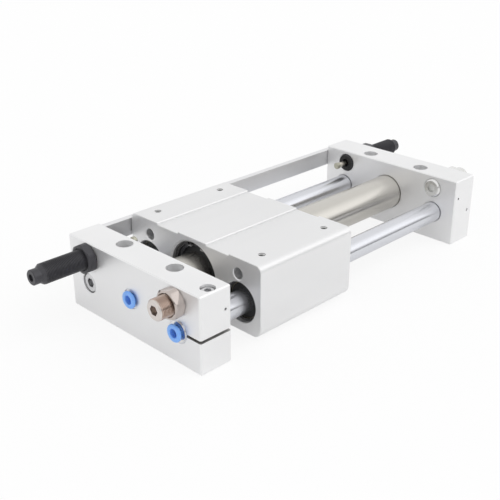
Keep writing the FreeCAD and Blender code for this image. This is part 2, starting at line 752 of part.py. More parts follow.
def lock_nuts(label, axis, thick, turns):
    """One hexagon nut against the outside of each plate, turned as it was tightened, its corners bevelled."""
    body = new_body(label)
    corner = dim.nut_across * HEX_CORNER + dim.nut_bevel
    flat = dim.nut_across / 2 - dim.nut_bevel / 2
    for side, turn in zip(SIDES, turns):
        inner = side * plate_out
        outer = side * (plate_out + thick)
        profile = sketch(body, "YZ_Plane", (*axis, inner if side > 0 else outer), turn)
        hexagon(profile, dim.nut_across)
        pad(body, profile, thick)
        for face, inward in ((inner, side), (outer, -side)):
            bevel = ((face, flat), (face, corner), (face + inward * dim.nut_bevel, corner))
            turned(body, axis, bevel, "Groove")
        bore_x(body, (inner, *axis), buffer_hole, thick, side)


lock_nuts("shock_nuts", SHOCK_AXIS, dim.shock_nut, SHOCK_NUT_TURNS)
lock_nuts("stop_nuts", STOP_AXIS, dim.stop_nut, STOP_NUT_TURNS)

stop_bolts = new_body("stop_bolts")
stop_inner = plate_in - dim.stop_nose
stop_outer = plate_out + dim.stop_out
stop_radius = dim.buffer_dia / 2
stop_edge = dim.buffer_chamfer
bolt = turned(stop_bolts, STOP_AXIS, (
    (stop_inner, 0), (stop_inner, stop_radius - stop_edge), (stop_inner + stop_edge, stop_radius),
    (stop_outer - stop_edge, stop_radius), (stop_outer, stop_radius - stop_edge), (stop_outer, 0)))
sockets = [hex_socket(stop_bolts, (face, *STOP_AXIS), dim.stop_socket, toward)
           for face, toward in ((stop_inner, 1), (stop_outer, -1))]
mirror(stop_bolts, [bolt, *sockets])


def push_in_port(name, axis, front):
    """A push-in hose port: fitting with its flange at front, hose seal and release collar."""
    flange_back = front + dim.fitting_flange
    stub_end = front + fitting_depth
    step_end = stub_end - dim.fitting_back
    seal_back = step_end - dim.fitting_step
    collet = collet_bore / 2
    stub = dim.fitting_stub / 2
    flange = dim.fitting_dia / 2
    way = dim.fitting_hole / 2
    hose = port_bore / 2
    fitting = new_body(f"{name}_fitting")
    turned(fitting, axis, (
        (front, collet), (front, flange), (flange_back, flange), (flange_back, stub), (stub_end, stub),
        (stub_end, way), (step_end, way), (step_end, hose), (seal_back, hose), (seal_back, collet)))
    hose_seal = new_body(f"{name}_hose_seal")
    ring(hose_seal, axis, seal_back - dim.fitting_seal, seal_back, hose, collet - dim.slip)
    collar_face = front - dim.collar_lift - dim.collar_flange
    flange_under = front - dim.collar_lift
    neck_end = front + dim.collar_reach
    rim = dim.collar_dia / 2
    neck = dim.collar_neck / 2
    collar = new_body(f"{name}_collar")
    turned(collar, axis, (
        (collar_face, hose), (collar_face, rim - dim.collar_round), (collar_face + dim.collar_round, rim),
        (flange_under, rim), (flange_under, neck), (neck_end, neck), (neck_end, hose)))


push_in_port("tube_port", TUBE_AXIS, -plate_out + dim.port_drop)
push_in_port("shaft_port", RIGHT_SHAFT, -plate_out - dim.fitting_flange)

# Carriage block, about its own middle
carriage_half = carriage_length / 2
carriage_side = carriage_width / 2
groove_low = carriage_top - dim.groove_depth
groove_lip = carriage_top - dim.groove_bevel
groove_start = dim.groove_inner + dim.groove_bevel
groove_end = dim.groove_outer - dim.groove_bevel
carriage_block = new_body("carriage_block", dim.rest_shift)
profile = sketch(carriage_block, "YZ_Plane", (0, 0, -carriage_half))
right_groove = ((-dim.groove_inner, carriage_top), (-groove_start, groove_lip), (-groove_start, groove_low),
                (-groove_end, groove_low), (-groove_end, groove_lip), (-dim.groove_outer, carriage_top))
left_groove = [(-y, z) for y, z in reversed(right_groove)]
outline(profile, (
    (-carriage_side, dim.floor_gap), (carriage_side, dim.floor_gap), (carriage_side, carriage_top),
    *left_groove, *right_groove, (-carriage_side, carriage_top)))
pad(carriage_block, profile, carriage_length)


def is_long_corner(edge, z):
    """Whether an edge runs the carriage's length at one of its outer corners."""
    middle = edge.CenterOfMass
    return near(edge.Length, carriage_length) and near(abs(middle.y), carriage_side) and near(middle.z, z)


for height, radius in ((carriage_top, dim.top_radius), (dim.floor_gap, dim.bottom_radius)):
    dress(carriage_block, "Fillet", "Radius", radius, lambda edge: is_long_corner(edge, height))
chamfer(carriage_block, dim.edge_chamfer, lambda edge: near(abs(edge.CenterOfMass.x), carriage_half))
end_face = -carriage_half
bore_x(carriage_block, (end_face, *TUBE_AXIS), dim.coupler_dia, carriage_length, 1)
for axis in (LEFT_SHAFT, RIGHT_SHAFT):
    bore_x(carriage_block, (end_face, *axis), bushing_dia, carriage_length, 1)
for axis in (SHOCK_AXIS, STOP_AXIS):
    bore_x(carriage_block, (end_face, *axis), dim.strike_dia, carriage_length, 1)
for diameter, width in ((dim.coupler_dia, dim.bore_chamfer), (bushing_dia, dim.strike_chamfer),
                        (dim.strike_dia, dim.strike_chamfer)):
    chamfer(carriage_block, width, lambda edge: is_rim(edge, diameter, carriage_half))
profile = sketch(carriage_block, "XY_Plane", (0, 0, carriage_top))
for along in SIDES:
    for across in SIDES:
        circle(profile, dim.table_tap, (along * dim.table_pitch_x / 2, across * dim.table_pitch_y / 2))
pocket(carriage_block, profile, dim.table_depth)
sensor_spot = (0, carriage_side, slot_z)
sensor_bore = dim.sensor_magnet_dia + 2 * dim.slip
bore_y(carriage_block, sensor_spot, sensor_bore, dim.sensor_magnet_length, -1)
ring_out = carriage_half - dim.ring_sink
ring_in = ring_out - dim.ring_thick
clip_in = carriage_half - dim.bushing_sink + dim.slip
clip_out = clip_in + dim.clip_thick
for side in SIDES:
    ring(carriage_block, TUBE_AXIS, side * (ring_in - dim.slip), side * (ring_out + dim.slip),
         dim.coupler_dia / 2 - dim.slip, dim.coupler_dia / 2 + dim.ring_depth, "Groove")
    for axis in (LEFT_SHAFT, RIGHT_SHAFT):
        ring(carriage_block, axis, side * (clip_in - dim.slip), side * (clip_out + dim.slip),
             bushing_dia / 2 - dim.slip, bushing_dia / 2 + dim.clip_depth, "Groove")

# Outer half of the coupling: magnets between yokes, closed by a collar and a ring at each end
coupler_radius = dim.coupler_dia / 2 - dim.slip
yoke_bore = tube_dia / 2 + dim.slider_gap
stack_start = -dim.coupling_length / 2


def stack(label, inner, outer, start, length, count):
    """Equal rings in a row along the tube, a magnet pitch apart."""
    body = new_body(label, dim.rest_shift)
    first = ring(body, TUBE_AXIS, start, start + length, inner, outer)
    in_row(body, first, magnet_pitch, count)


stack("outer_yokes", yoke_bore, coupler_radius, stack_start, dim.yoke_length, MAGNETS + 1)
magnet_start = stack_start + dim.yoke_length
magnet_bore = yoke_bore + dim.slip
stack("outer_magnets", magnet_bore, coupler_radius - dim.slip, magnet_start, magnet_length, MAGNETS)

stack_end = dim.coupling_length / 2
tube_run = tube_dia / 2 + dim.slip
wear_start = stack_end + dim.wear_inset
wear_end = wear_start + dim.wear_length
wear_seat = tube_run + dim.wear_width + dim.slip
scraper_start = ring_in - dim.scraper_length
scraper_seat = tube_run + dim.scraper_width + dim.slip
end_collars = new_body("end_collars", dim.rest_shift)
collar = turned(end_collars, TUBE_AXIS, (
    (stack_end, yoke_bore), (wear_start, yoke_bore), (wear_start, wear_seat), (wear_end, wear_seat),
    (wear_end, yoke_bore), (scraper_start, yoke_bore), (scraper_start, scraper_seat), (ring_in, scraper_seat),
    (ring_in, coupler_radius), (stack_end, coupler_radius)))
mirror(end_collars, [collar])
wear_rings = new_body("wear_rings", dim.rest_shift)
wear = ring(wear_rings, TUBE_AXIS, wear_start + dim.slip, wear_end - dim.slip, tube_run, wear_seat - dim.slip)
mirror(wear_rings, [wear])
scrapers = new_body("scrapers", dim.rest_shift)
lip = (scraper_start + ring_in) / 2
scraper = turned(scrapers, TUBE_AXIS, (
    (scraper_start, yoke_bore), (lip, yoke_bore), (ring_in, tube_run), (ring_in, tube_run + dim.slip),
    (lip, scraper_seat - dim.slip), (scraper_start, scraper_seat - dim.slip)))
mirror(scrapers, [scraper])

# Retaining rings of the coupling, open at the top between two pierced ears
retaining_rings = new_body("retaining_rings", dim.rest_shift)
ring_outer = dim.coupler_dia / 2 + dim.ring_depth - dim.slip
ring_inner = ring_outer - dim.ring_width
profile = sketch(retaining_rings, "YZ_Plane", (0, tube_height, ring_in))
circle(profile, 2 * ring_outer)
circle(profile, 2 * ring_inner)
features = [pad(retaining_rings, profile, dim.ring_thick)]
profile = sketch(retaining_rings, "YZ_Plane", (0, tube_height, ring_in))
opening = dim.ring_opening / 2
outline(profile, ((-opening, 0), (opening, 0), (opening, 2 * ring_outer), (-opening, 2 * ring_outer)))
features.append(pocket(retaining_rings, profile, dim.ring_thick, True))
for across in SIDES:
    profile = sketch(retaining_rings, "YZ_Plane", (0, tube_height, ring_in))
    near_side = across * opening
    far_side = across * (opening + dim.ear_width)
    ear_low = ring_inner - dim.ear_reach
    ear_high = ring_inner + dim.ear_root
    outline(profile, ((near_side, ear_low), (far_side, ear_low), (far_side, ear_high), (near_side, ear_high)))
    features.append(pad(retaining_rings, profile, dim.ring_thick))
    ear_height = tube_height + ring_inner - dim.ear_hole_drop
    ear_spot = (ring_in, across * (opening + dim.ear_width / 2), ear_height)
    features.append(bore_x(retaining_rings, ear_spot, dim.ear_hole, dim.ring_thick, 1))
mirror(retaining_rings, features)

# Ball bushings of the guide shafts: sleeve, ball cage, end seals and snap ring
bushing_out = carriage_half - dim.bushing_sink
bushing_in = bushing_out - bushing_length
cage_radius = shaft_radius + dim.slip + dim.cage_wall
sleeve_bore = cage_radius + dim.slip
sleeve_radius = bushing_dia / 2 - dim.slip
lip_bore = shaft_radius + dim.slip
lip_radius = lip_bore + dim.lip_width
bushing_sleeves = new_body("bushing_sleeves", dim.rest_shift)
bushing_cages = new_body("bushing_cages", dim.rest_shift)
bushing_seals = new_body("bushing_seals", dim.rest_shift)
bushing_clips = new_body("bushing_clips", dim.rest_shift)
made = {body: [] for body in (bushing_sleeves, bushing_cages, bushing_seals, bushing_clips)}
lip_in = bushing_in + dim.lip_length
lip_out = bushing_out - dim.lip_length
lip_seat = lip_radius + dim.slip
clip_radius = bushing_dia / 2 + dim.clip_depth - dim.slip
clip_bore = clip_radius - dim.clip_width
for axis in (LEFT_SHAFT, RIGHT_SHAFT):
    made[bushing_sleeves].append(turned(bushing_sleeves, axis, (
        (bushing_in, lip_seat), (lip_in, lip_seat), (lip_in, sleeve_bore), (lip_out, sleeve_bore),
        (lip_out, lip_seat), (bushing_out, lip_seat), (bushing_out, sleeve_radius),
        (bushing_in, sleeve_radius))))
    made[bushing_cages].append(ring(bushing_cages, axis, lip_in, lip_out, lip_bore, cage_radius))
    for start, end in ((bushing_in, lip_in), (lip_out, bushing_out)):
        made[bushing_seals].append(ring(bushing_seals, axis, start, end, lip_bore, lip_radius))
    made[bushing_clips].append(ring(bushing_clips, axis, clip_in, clip_out, clip_bore, clip_radius))
for body, features in made.items():
    mirror(body, features)

# Strikers in the channels of the carriage, and the magnet that the sensors read
strike_rods = new_body("strike_rods", dim.rest_shift)
strike_face = carriage_half - strike_sink
strike_radius = dim.strike_dia / 2 - dim.slip
for axis in (SHOCK_AXIS, STOP_AXIS):
    round_bar(strike_rods, axis, strike_face, strike_radius)
sensor_magnet = new_body("sensor_magnet", dim.rest_shift)
profile = sketch(sensor_magnet, "XY_Plane", (0, 0, slot_z))
magnet_back = carriage_side - dim.sensor_magnet_length
magnet_radius = dim.sensor_magnet_dia / 2
outline(profile, (
    (0, magnet_back), (magnet_radius, magnet_back), (magnet_radius, carriage_side), (0, carriage_side)))
revolve(sensor_magnet, profile, "V_Axis")

# Piston: inner half of the coupling on a rod, between two sealed piston heads
core_bore = dim.core_rod_dia / 2 + dim.slip
core_radius = dim.bore_dia / 2 - dim.core_gap
stack("inner_yokes", core_bore, core_radius, stack_start, dim.yoke_length, MAGNETS + 1)
stack("inner_magnets", core_bore, core_radius - dim.slip, magnet_start, magnet_length, MAGNETS)
piston_rod = new_body("piston_rod", dim.rest_shift)
rod_half = stack_end + dim.core_grip
round_bar(piston_rod, TUBE_AXIS, rod_half, dim.core_rod_dia / 2)

piston_radius = dim.bore_dia / 2 - dim.piston_gap
piston_face = stack_end + dim.piston_length
guide_start = stack_end + dim.piston_wear_inset
guide_end = guide_start + dim.wear_length
guide_floor = piston_radius - dim.piston_wear_depth
seal_end = piston_face - dim.piston_seal_inset
seal_start = seal_end - dim.piston_seal_length
seal_floor = piston_radius - dim.piston_seal_depth
peg_bore = dim.bumper_peg_dia / 2 + dim.slip
peg_end = piston_face - dim.bumper_peg
piston_heads = new_body("piston_heads", dim.rest_shift)
head = turned(piston_heads, TUBE_AXIS, (
    (stack_end, core_bore), (stack_end, piston_radius), (guide_start, piston_radius),
    (guide_start, guide_floor), (guide_end, guide_floor), (guide_end, piston_radius),
    (seal_start, piston_radius), (seal_start, seal_floor), (seal_end, seal_floor), (seal_end, piston_radius),
    (piston_face, piston_radius), (piston_face, peg_bore), (peg_end, peg_bore), (peg_end, 0),
    (rod_half, 0), (rod_half, core_bore)))
mirror(piston_heads, [head])
bore_run = dim.bore_dia / 2 - dim.slip
piston_guides = new_body("piston_guides", dim.rest_shift)
guide = ring(piston_guides, TUBE_AXIS, guide_start + dim.ring_play, guide_end - dim.ring_play,
             guide_floor + dim.slip, bore_run)
mirror(piston_guides, [guide])
piston_seals = new_body("piston_seals", dim.rest_shift)
packing = ring(piston_seals, TUBE_AXIS, seal_start + dim.ring_play, seal_end - dim.ring_play,
               seal_floor + dim.slip, bore_run)
mirror(piston_seals, [packing])
bumpers = new_body("bumpers", dim.rest_shift)
peg_radius = dim.bumper_peg_dia / 2
bumper_face = piston_face + dim.bumper_length
bumper = turned(bumpers, TUBE_AXIS, (
    (peg_end, 0), (peg_end, peg_radius), (piston_face, peg_radius), (piston_face, dim.bumper_dia / 2),
    (bumper_face, dim.bumper_dia / 2), (bumper_face, 0)))
mirror(bumpers, [bumper])

# Check every object and write one file for each sub-part
doc.recompute()
for item in doc.Objects:
    if "Invalid" in item.State or "Error" in item.State:
        raise RuntimeError(f"{item.Label} did not build")
os.makedirs("parts", exist_ok=True)
for part in parts:
    if part.Shape.isNull() or not part.Shape.isValid():
        raise RuntimeError(f"{part.Label} has no valid shape")
    part.Shape.exportStep(f"parts/{part.Label}.step")
    print(f"{part.Label}: {len(part.Shape.Solids)} solids, {part.Shape.Volume:.0f} mm3")
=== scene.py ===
# %% [markdown]
# A guided rodless cylinder: a carriage slides on two shafts and a thin tube between two end plates,
# pulled along by magnets inside the tube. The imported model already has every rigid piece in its
# place, so this lesson lights it, gives each piece the finish of the real metal or plastic, and
# models the threads that a machinist would look for.

# %% Load the frame
import math

import bpy
from mathutils import Matrix, Vector


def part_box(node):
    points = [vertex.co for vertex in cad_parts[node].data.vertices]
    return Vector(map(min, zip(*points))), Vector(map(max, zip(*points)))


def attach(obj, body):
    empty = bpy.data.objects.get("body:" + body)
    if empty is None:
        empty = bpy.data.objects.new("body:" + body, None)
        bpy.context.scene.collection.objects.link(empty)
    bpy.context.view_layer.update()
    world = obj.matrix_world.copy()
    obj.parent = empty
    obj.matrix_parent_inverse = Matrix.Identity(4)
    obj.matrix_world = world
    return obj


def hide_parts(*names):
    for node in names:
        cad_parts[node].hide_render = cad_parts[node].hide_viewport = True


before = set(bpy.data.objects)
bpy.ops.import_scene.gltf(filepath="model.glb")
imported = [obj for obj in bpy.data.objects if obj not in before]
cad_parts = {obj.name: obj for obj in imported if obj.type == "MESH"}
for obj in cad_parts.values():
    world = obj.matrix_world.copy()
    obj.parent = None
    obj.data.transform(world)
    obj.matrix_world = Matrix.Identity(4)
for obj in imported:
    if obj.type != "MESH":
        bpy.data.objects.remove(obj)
bpy.ops.object.select_all(action="DESELECT")
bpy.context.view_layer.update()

# %% [markdown]
# The camera stands a little above the port end and looks down along the stroke. Its place, angles
# and lens were worked out from the corners of the plates and the carriage, whose sizes are known.
# It could be turned by three angles, one after the other. A matrix made of its right, up and back
# directions sets all three at once, which is easier to check.

# %% Camera
PHOTO_SIDE = 500
FOCAL_PIXELS = 855.8
CAMERA_PLACE = Vector((-0.43087, -0.38915, 0.28252))
YAW = math.radians(44.86)
PITCH = math.radians(24.84)
SENSOR_WIDTH = 36
NEAREST_SEEN = 0.01

forward = Vector((math.cos(PITCH) * math.cos(YAW), math.cos(PITCH) * math.sin(YAW), -math.sin(PITCH)))
right = Vector((math.sin(YAW), -math.cos(YAW), 0))
up = right.cross(forward)
turn = Matrix((right, up, -forward)).transposed()
camera_data = bpy.data.cameras.new("photo_camera")
camera_data.sensor_width = SENSOR_WIDTH
camera_data.lens = SENSOR_WIDTH * FOCAL_PIXELS / PHOTO_SIDE
camera_data.clip_start = NEAREST_SEEN
camera = bpy.data.objects.new("photo_camera", camera_data)
camera.matrix_world = Matrix.Translation(CAMERA_PLACE) @ turn.to_4x4()
bpy.context.scene.collection.objects.link(camera)
bpy.context.scene.camera = camera
bpy.context.scene.view_settings.view_transform = "Standard"
print("lens:", round(camera_data.lens, 2), "mm")

# %% [markdown]
# The room, the floor and every finish below are node trees. Each node could be added, set and linked
# line by line. Two small helpers do the same in a form that reads like the node editor: node adds one
# with its settings and the values of its free sockets, and wire joins sockets in pairs.


# %% Node helpers
def node(tree, kind, values=None, **settings):
    """A new shader node. Settings come first, because they can change which sockets it has."""
    made = tree.nodes.new("ShaderNode" + kind)
    for name, setting in settings.items():
        setattr(made, name, setting)
    for socket, value in (values or {}).items():
        made.inputs[socket].default_value = value
    return made


def wire(tree, *pairs):
    for start, end in pairs:
        tree.links.new(start, end)


print("made the helpers node and wire")

# %% [markdown]
# Pale metal has hardly a colour of its own: what it shows is the room. The room here is a white studio
# whose walls fade to grey near the floor, so that flat faces stay pale while the round shafts pick up
# a darker band. The wall on the left is pale almost down to the floor. High on the right, beyond the
# part, is a soft bright window that draws a light line along bevels and tubes. It has edges on three
# sides, because a bright wall all along would make the tops glare when they are seen from elsewhere.
# A panorama picture could stand for the room, but a few nodes are easier to tune.

# %% The room that metal mirrors
MIRROR_HORIZON, WALL_TOP = 0.25, 0.35
LEFT_DROP = 0.25
WALL, WINDOW = 0.97, 1.38
WINDOW_EDGES = (("X", -0.4, 0), ("Y", 0, -0.6), ("Z", 0.1, 0.38))

world = bpy.data.worlds.new("white_studio")
bpy.context.scene.world = world
world.use_nodes = True
tree = world.node_tree
tree.nodes.clear()
direction = node(tree, "TexCoord")
towards = node(tree, "SeparateXYZ")
leftward = node(tree, "Math", {1: 0}, operation="MAXIMUM")
height = node(tree, "Math", {1: LEFT_DROP}, operation="MULTIPLY_ADD")
wall = node(tree, "MapRange", {"From Max": WALL_TOP, "To Min": MIRROR_HORIZON},
            interpolation_type="SMOOTHSTEP")
edges = []
for side, dark_edge, bright_edge in WINDOW_EDGES:
    edge = node(tree, "MapRange", {"From Min": dark_edge, "From Max": bright_edge})
    wire(tree, (towards.outputs[side], edge.inputs["Value"]))
    edges.append(edge.outputs["Result"])
window = edges[0]
for edge in edges[1:]:
    both = node(tree, "Math", operation="MINIMUM")
    wire(tree, (window, both.inputs[0]), (edge, both.inputs[1]))
    window = both.outputs["Value"]
brightness = node(tree, "MapRange", {"To Min": WALL, "To Max": WINDOW}, interpolation_type="SMOOTHSTEP")
mirror_room = node(tree, "Background")
wire(tree,
     (direction.outputs["Generated"], towards.inputs["Vector"]),
     (towards.outputs["Y"], leftward.inputs[0]),
     (leftward.outputs["Value"], height.inputs[0]),
     (towards.outputs["Z"], height.inputs[2]),
     (height.outputs["Value"], wall.inputs["Value"]),
     (window, brightness.inputs["Value"]),
     (wall.outputs["Result"], mirror_room.inputs["Color"]),
     (brightness.outputs["Result"], mirror_room.inputs["Strength"]))
print("window edges:", len(edges))

# %% [markdown]
# The light that falls on the part comes from a plainer room, a little brighter at the horizon than
# overhead, and the camera itself sees white behind the part. One room could serve all three, but then
# a darker band in the metal would also darken the light and the background. Light Path tells the kinds
# of ray apart: camera, mirror, and the rest, which only light the surfaces.


# %% The room that lights the part
WHITE = (1, 1, 1, 1)
SOFT_HORIZON, SOFT_ZENITH = 1.12, 0.6


def seen_rays(tree):
    """Is this ray one that shows a background: from the camera, or by way of metal or glass?"""
    rays = node(tree, "LightPath")
    mirror = node(tree, "Math", operation="MAXIMUM")
    wire(tree,
         (rays.outputs["Is Glossy Ray"], mirror.inputs[0]),
         (rays.outputs["Is Transmission Ray"], mirror.inputs[1]))
    return rays.outputs["Is Camera Ray"], mirror.outputs["Value"]


glow = node(tree, "MapRange", {"To Min": SOFT_HORIZON, "To Max": SOFT_ZENITH})
soft_room = node(tree, "Background")
backdrop = node(tree, "Background", {"Color": WHITE})
in_metal = node(tree, "MixShader")
in_view = node(tree, "MixShader")
output = node(tree, "OutputWorld")
camera_ray, mirror_ray = seen_rays(tree)
wire(tree,
     (towards.outputs["Z"], glow.inputs["Value"]),
     (glow.outputs["Result"], soft_room.inputs["Color"]),
     (mirror_ray, in_metal.inputs["Fac"]),
     (soft_room.outputs["Background"], in_metal.inputs[1]),
     (mirror_room.outputs["Background"], in_metal.inputs[2]),
     (camera_ray, in_view.inputs["Fac"]),
     (in_metal.outputs["Shader"], in_view.inputs[1]),
     (backdrop.outputs["Background"], in_view.inputs[2]),
     (in_view.outputs["Shader"], output.inputs["Surface"]))
print("world nodes:", len(tree.nodes))

# %% [markdown]
# One soft lamp does the modelling. It stands high behind the right-hand side, so the tops and the
# right-hand faces are bright and the port end, turned away from it, is a shade darker. An area lamp
# would fade with distance. A sun lamp lights every part of the floor alike, and its angle is the width
# of the lamp in the sky: the wider it is, the softer the shadows are. Mirror rays pass it by, so a
# bevel shows the pale room and not a glaring line.

# %% Lamp
LAMP_SIDE = Vector((0.3, -0.55, 0.85))
LAMP_WIDTH = math.radians(60)
LAMP_POWER = 1

lamp_data = bpy.data.lights.new("key_lamp", "SUN")
lamp_data.angle = LAMP_WIDTH
lamp_data.energy = LAMP_POWER
lamp = bpy.data.objects.new("key_lamp", lamp_data)
lamp.location = LAMP_SIDE
lamp.visible_glossy = False
lamp.rotation_mode = "QUATERNION"
lamp.rotation_quaternion = LAMP_SIDE.to_track_quat("Z", "Y")
bpy.context.scene.collection.objects.link(lamp)
print("lamp stands", round(math.degrees(LAMP_SIDE.angle(Vector((0, 0, 1))))), "degrees from overhead")

# %% [markdown]
# The floor is a wide pale sheet on the plane that the feet stand on. The part was photographed on a
# white sweep. More light would whiten the sheet, but it would also burn out the pale metal. So most of
# what the camera sees of the floor is plain white, and the rest is the sheet as it is lit, which keeps
# a faint shadow under the part. The metal mirrors less of the white.

# %% Floor
FLOOR_SIDE = 8
FLOOR_DROP = 0.0002
WHITE_IN_VIEW = 0.85
WHITE_IN_METAL = 0.3
MATT_PAPER = {"Base Color": (0.92, 0.92, 0.92, 1), "Roughness": 0.9, "Specular IOR Level": 0.1}

bpy.ops.mesh.primitive_plane_add(size=FLOOR_SIDE, location=(0, 0, -FLOOR_DROP))
floor = bpy.context.object
floor.name = "floor"
floor_paint = bpy.data.materials.new("floor_paint")
floor_paint.use_nodes = True
tree = floor_paint.node_tree
sheet = tree.nodes["Principled BSDF"]
for socket, value in MATT_PAPER.items():
    sheet.inputs[socket].default_value = value
white = node(tree, "Emission", {"Color": WHITE})
camera_ray, mirror_ray = seen_rays(tree)
camera_share = node(tree, "Math", {1: WHITE_IN_VIEW}, operation="MULTIPLY")
share = node(tree, "Math", {1: WHITE_IN_METAL}, operation="MULTIPLY_ADD")
blend = node(tree, "MixShader")
wire(tree,
     (camera_ray, camera_share.inputs[0]),
     (mirror_ray, share.inputs[0]),
     (camera_share.outputs["Value"], share.inputs[2]),
     (share.outputs["Value"], blend.inputs["Fac"]),
     (sheet.outputs["BSDF"], blend.inputs[1]),
     (white.outputs["Emission"], blend.inputs[2]),
     (blend.outputs["Shader"], tree.nodes["Material Output"].inputs["Surface"]))
floor.data.materials.append(floor_paint)
floor.select_set(False)
print("floor:", FLOOR_SIDE, "m wide")

# %% [markdown]
# Three effects turn up in several finishes, so each is a node group that is built once. Lines gives
# the fine parallel marks that a grinder, a lathe or an extrusion die leaves. Grain is the tiny
# pitting of a blasted or moulded surface. Handling is the broad, faint unevenness that keeps a
# large face from looking like a flat fill. All three are noise at the object's own coordinates:
# stretched along one direction it makes lines, and the detail sets how ragged they are.


# %% Effect groups
NOISE_LOW, NOISE_HIGH = 0.3, 0.7
EFFECT_INPUTS = (("Stretch", "NodeSocketVector", (1, 1, 1)), ("Low", "NodeSocketFloat", 0),
                 ("High", "NodeSocketFloat", 1))


def noise_effect(name, detail):
    """A group that gives noise between Low and High, stretched by Stretch."""
    group = bpy.data.node_groups.new(name, "ShaderNodeTree")
    for label, kind, value in EFFECT_INPUTS:
        socket = group.interface.new_socket(name=label, in_out="INPUT", socket_type=kind)
        socket.default_value = value
    group.interface.new_socket(name="Value", in_out="OUTPUT", socket_type="NodeSocketFloat")
    given = group.nodes.new("NodeGroupInput")
    made = group.nodes.new("NodeGroupOutput")
    place = node(group, "TexCoord")
    stretched = node(group, "VectorMath", operation="MULTIPLY")
    noise = node(group, "TexNoise", {"Scale": 1, "Detail": detail})
    ranged = node(group, "MapRange", {"From Min": NOISE_LOW, "From Max": NOISE_HIGH})
    wire(group,
         (place.outputs["Object"], stretched.inputs[0]),
         (given.outputs["Stretch"], stretched.inputs[1]),
         (stretched.outputs["Vector"], noise.inputs["Vector"]),
         (noise.outputs["Fac"], ranged.inputs["Value"]),
         (given.outputs["Low"], ranged.inputs["To Min"]),
         (given.outputs["High"], ranged.inputs["To Max"]),
         (ranged.outputs["Result"], made.inputs["Value"]))
    return group


LINES = noise_effect("lines", 3)
GRAIN = noise_effect("grain", 1)
HANDLING = noise_effect("handling", 2)
print("effects:", [group.name for group in (LINES, GRAIN, HANDLING)])

# %% [markdown]
# A finish is a Principled shader with constant sockets, plus the effects that vary over the surface:
# one group drives roughness, another shades the colour a little, and a third raises the bump. Each
# material could be wired by hand, but a helper that wires them all alike lets each finish below read
# as a list of what the surface is like.


# %% Finish helper
def density(along, across=None):
    """Noise cells in a metre along X and across it. A single number serves all directions."""
    across = across or along
    return along, across, across


def use_group(tree, group, cells, low, high):
    values = {"Stretch": cells, "Low": low, "High": high}
    return node(tree, "Group", values, node_tree=group).outputs["Value"]


def finish(name, colour, metal, rough, marks, shade, relief, extras=None):
    """A material whose surface varies in three ways, each given as (effect, density, amount).

    marks spread the roughness by the amount to either side, shade darkens the colour down to that
    share of it, and relief raises the surface by that depth.
    """
    material = bpy.data.materials.new(name)
    material.use_nodes = True
    tree = material.node_tree
    shader = tree.nodes["Principled BSDF"]
    for socket, value in {"Metallic": metal, **(extras or {})}.items():
        shader.inputs[socket].default_value = value
    group, cells, spread = marks
    roughness = use_group(tree, group, cells, rough - spread, rough + spread)
    group, cells, darkest = shade
    shading = use_group(tree, group, cells, darkest, 1)
    tint = node(tree, "Mix", {"Factor": 1, "A": (*colour, 1)}, data_type="RGBA", blend_type="MULTIPLY")
    group, cells, depth = relief
    raised = use_group(tree, group, cells, 0, 1)
    bump = node(tree, "Bump", {"Distance": depth})
    wire(tree,
         (roughness, shader.inputs["Roughness"]),
         (shading, tint.inputs["B"]),
         (tint.outputs["Result"], shader.inputs["Base Color"]),
         (raised, bump.inputs["Height"]),
         (bump.outputs["Normal"], shader.inputs["Normal"]))
    return material


def paint(material, *names):
    for name in names:
        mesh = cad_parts[name].data
        mesh.materials.clear()
        mesh.materials.append(material)
    print(material.name, "on", len(names), "nodes")


print("made the helpers finish and paint")

# %% [markdown]
# The plates, the carriage and the rail are clear anodised aluminium: a satin, almost white metal. So
# are the piston heads and the body of the tube port's fitting. The plates are milled, so their finish
# is even in all directions. The carriage and the rail are cut from extruded bar, whose die leaves
# faint lines along the stroke. The clear film on the metal hides a quarter of its mirror.

# %% Anodised aluminium
MM = 0.001
FILM_METAL = 0.75
FINE = density(6000)

plate_metal = finish(
    "milled_anodised", (0.88, 0.88, 0.884), metal=FILM_METAL, rough=0.42,
    marks=(GRAIN, FINE, 0.05),
    shade=(HANDLING, density(25), 0.97),
    relief=(GRAIN, FINE, 0.004 * MM))
extruded_metal = finish(
    "extruded_anodised", (0.826, 0.826, 0.83), metal=FILM_METAL, rough=0.4,
    marks=(LINES, density(40, 5000), 0.05),
    shade=(HANDLING, density(8, 30), 0.96),
    relief=(LINES, density(30, 5000), 0.004 * MM))
rail_metal = finish(
    "drawn_anodised", (0.81, 0.81, 0.82), metal=FILM_METAL, rough=0.38,
    marks=(LINES, density(20, 5000), 0.03),
    shade=(HANDLING, density(6, 40), 0.96),
    relief=(LINES, density(20, 5000), 0.001 * MM))
paint(plate_metal, "rear_plate", "piston_heads", "tube_port_fitting")
paint(extruded_metal, "carriage_block")
paint(rail_metal, "sensor_rail")

# %% [markdown]
# The front plate has the same finish, but the walls of its clamp slit are painted darker: a painted
# shade for the narrow slit, which little light enters. They could get a material of their own face
# by face, but the frame's meshes stay as they are. So a copy of the finish asks where on the plate it
# is: level with the hollow shaft that the slit closes on, and to the right of the shaft's axis.


# %% Clamp slit
SLIT_WIDTH, SLIT_MARGIN = 2 * MM, 0.05 * MM
# The painted shade colour of the slit walls.
SLIT_SHADE_COLOUR = (0.52, 0.51, 0.5)


def axis_of(name):
    """The Y and Z of the axis of a round node that lies along X."""
    low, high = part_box(name)
    return (low + high)[1] / 2, (low + high)[2] / 2


def recolour(material, mask, colour):
    """Give a finish another colour where the mask is 1."""
    tree = material.node_tree
    base = tree.nodes["Principled BSDF"].inputs["Base Color"]
    mix = node(tree, "Mix", {"B": (*colour, 1)}, data_type="RGBA")
    wire(tree,
         (mask, mix.inputs["Factor"]),
         (base.links[0].from_socket, mix.inputs["A"]),
         (mix.outputs["Result"], base))


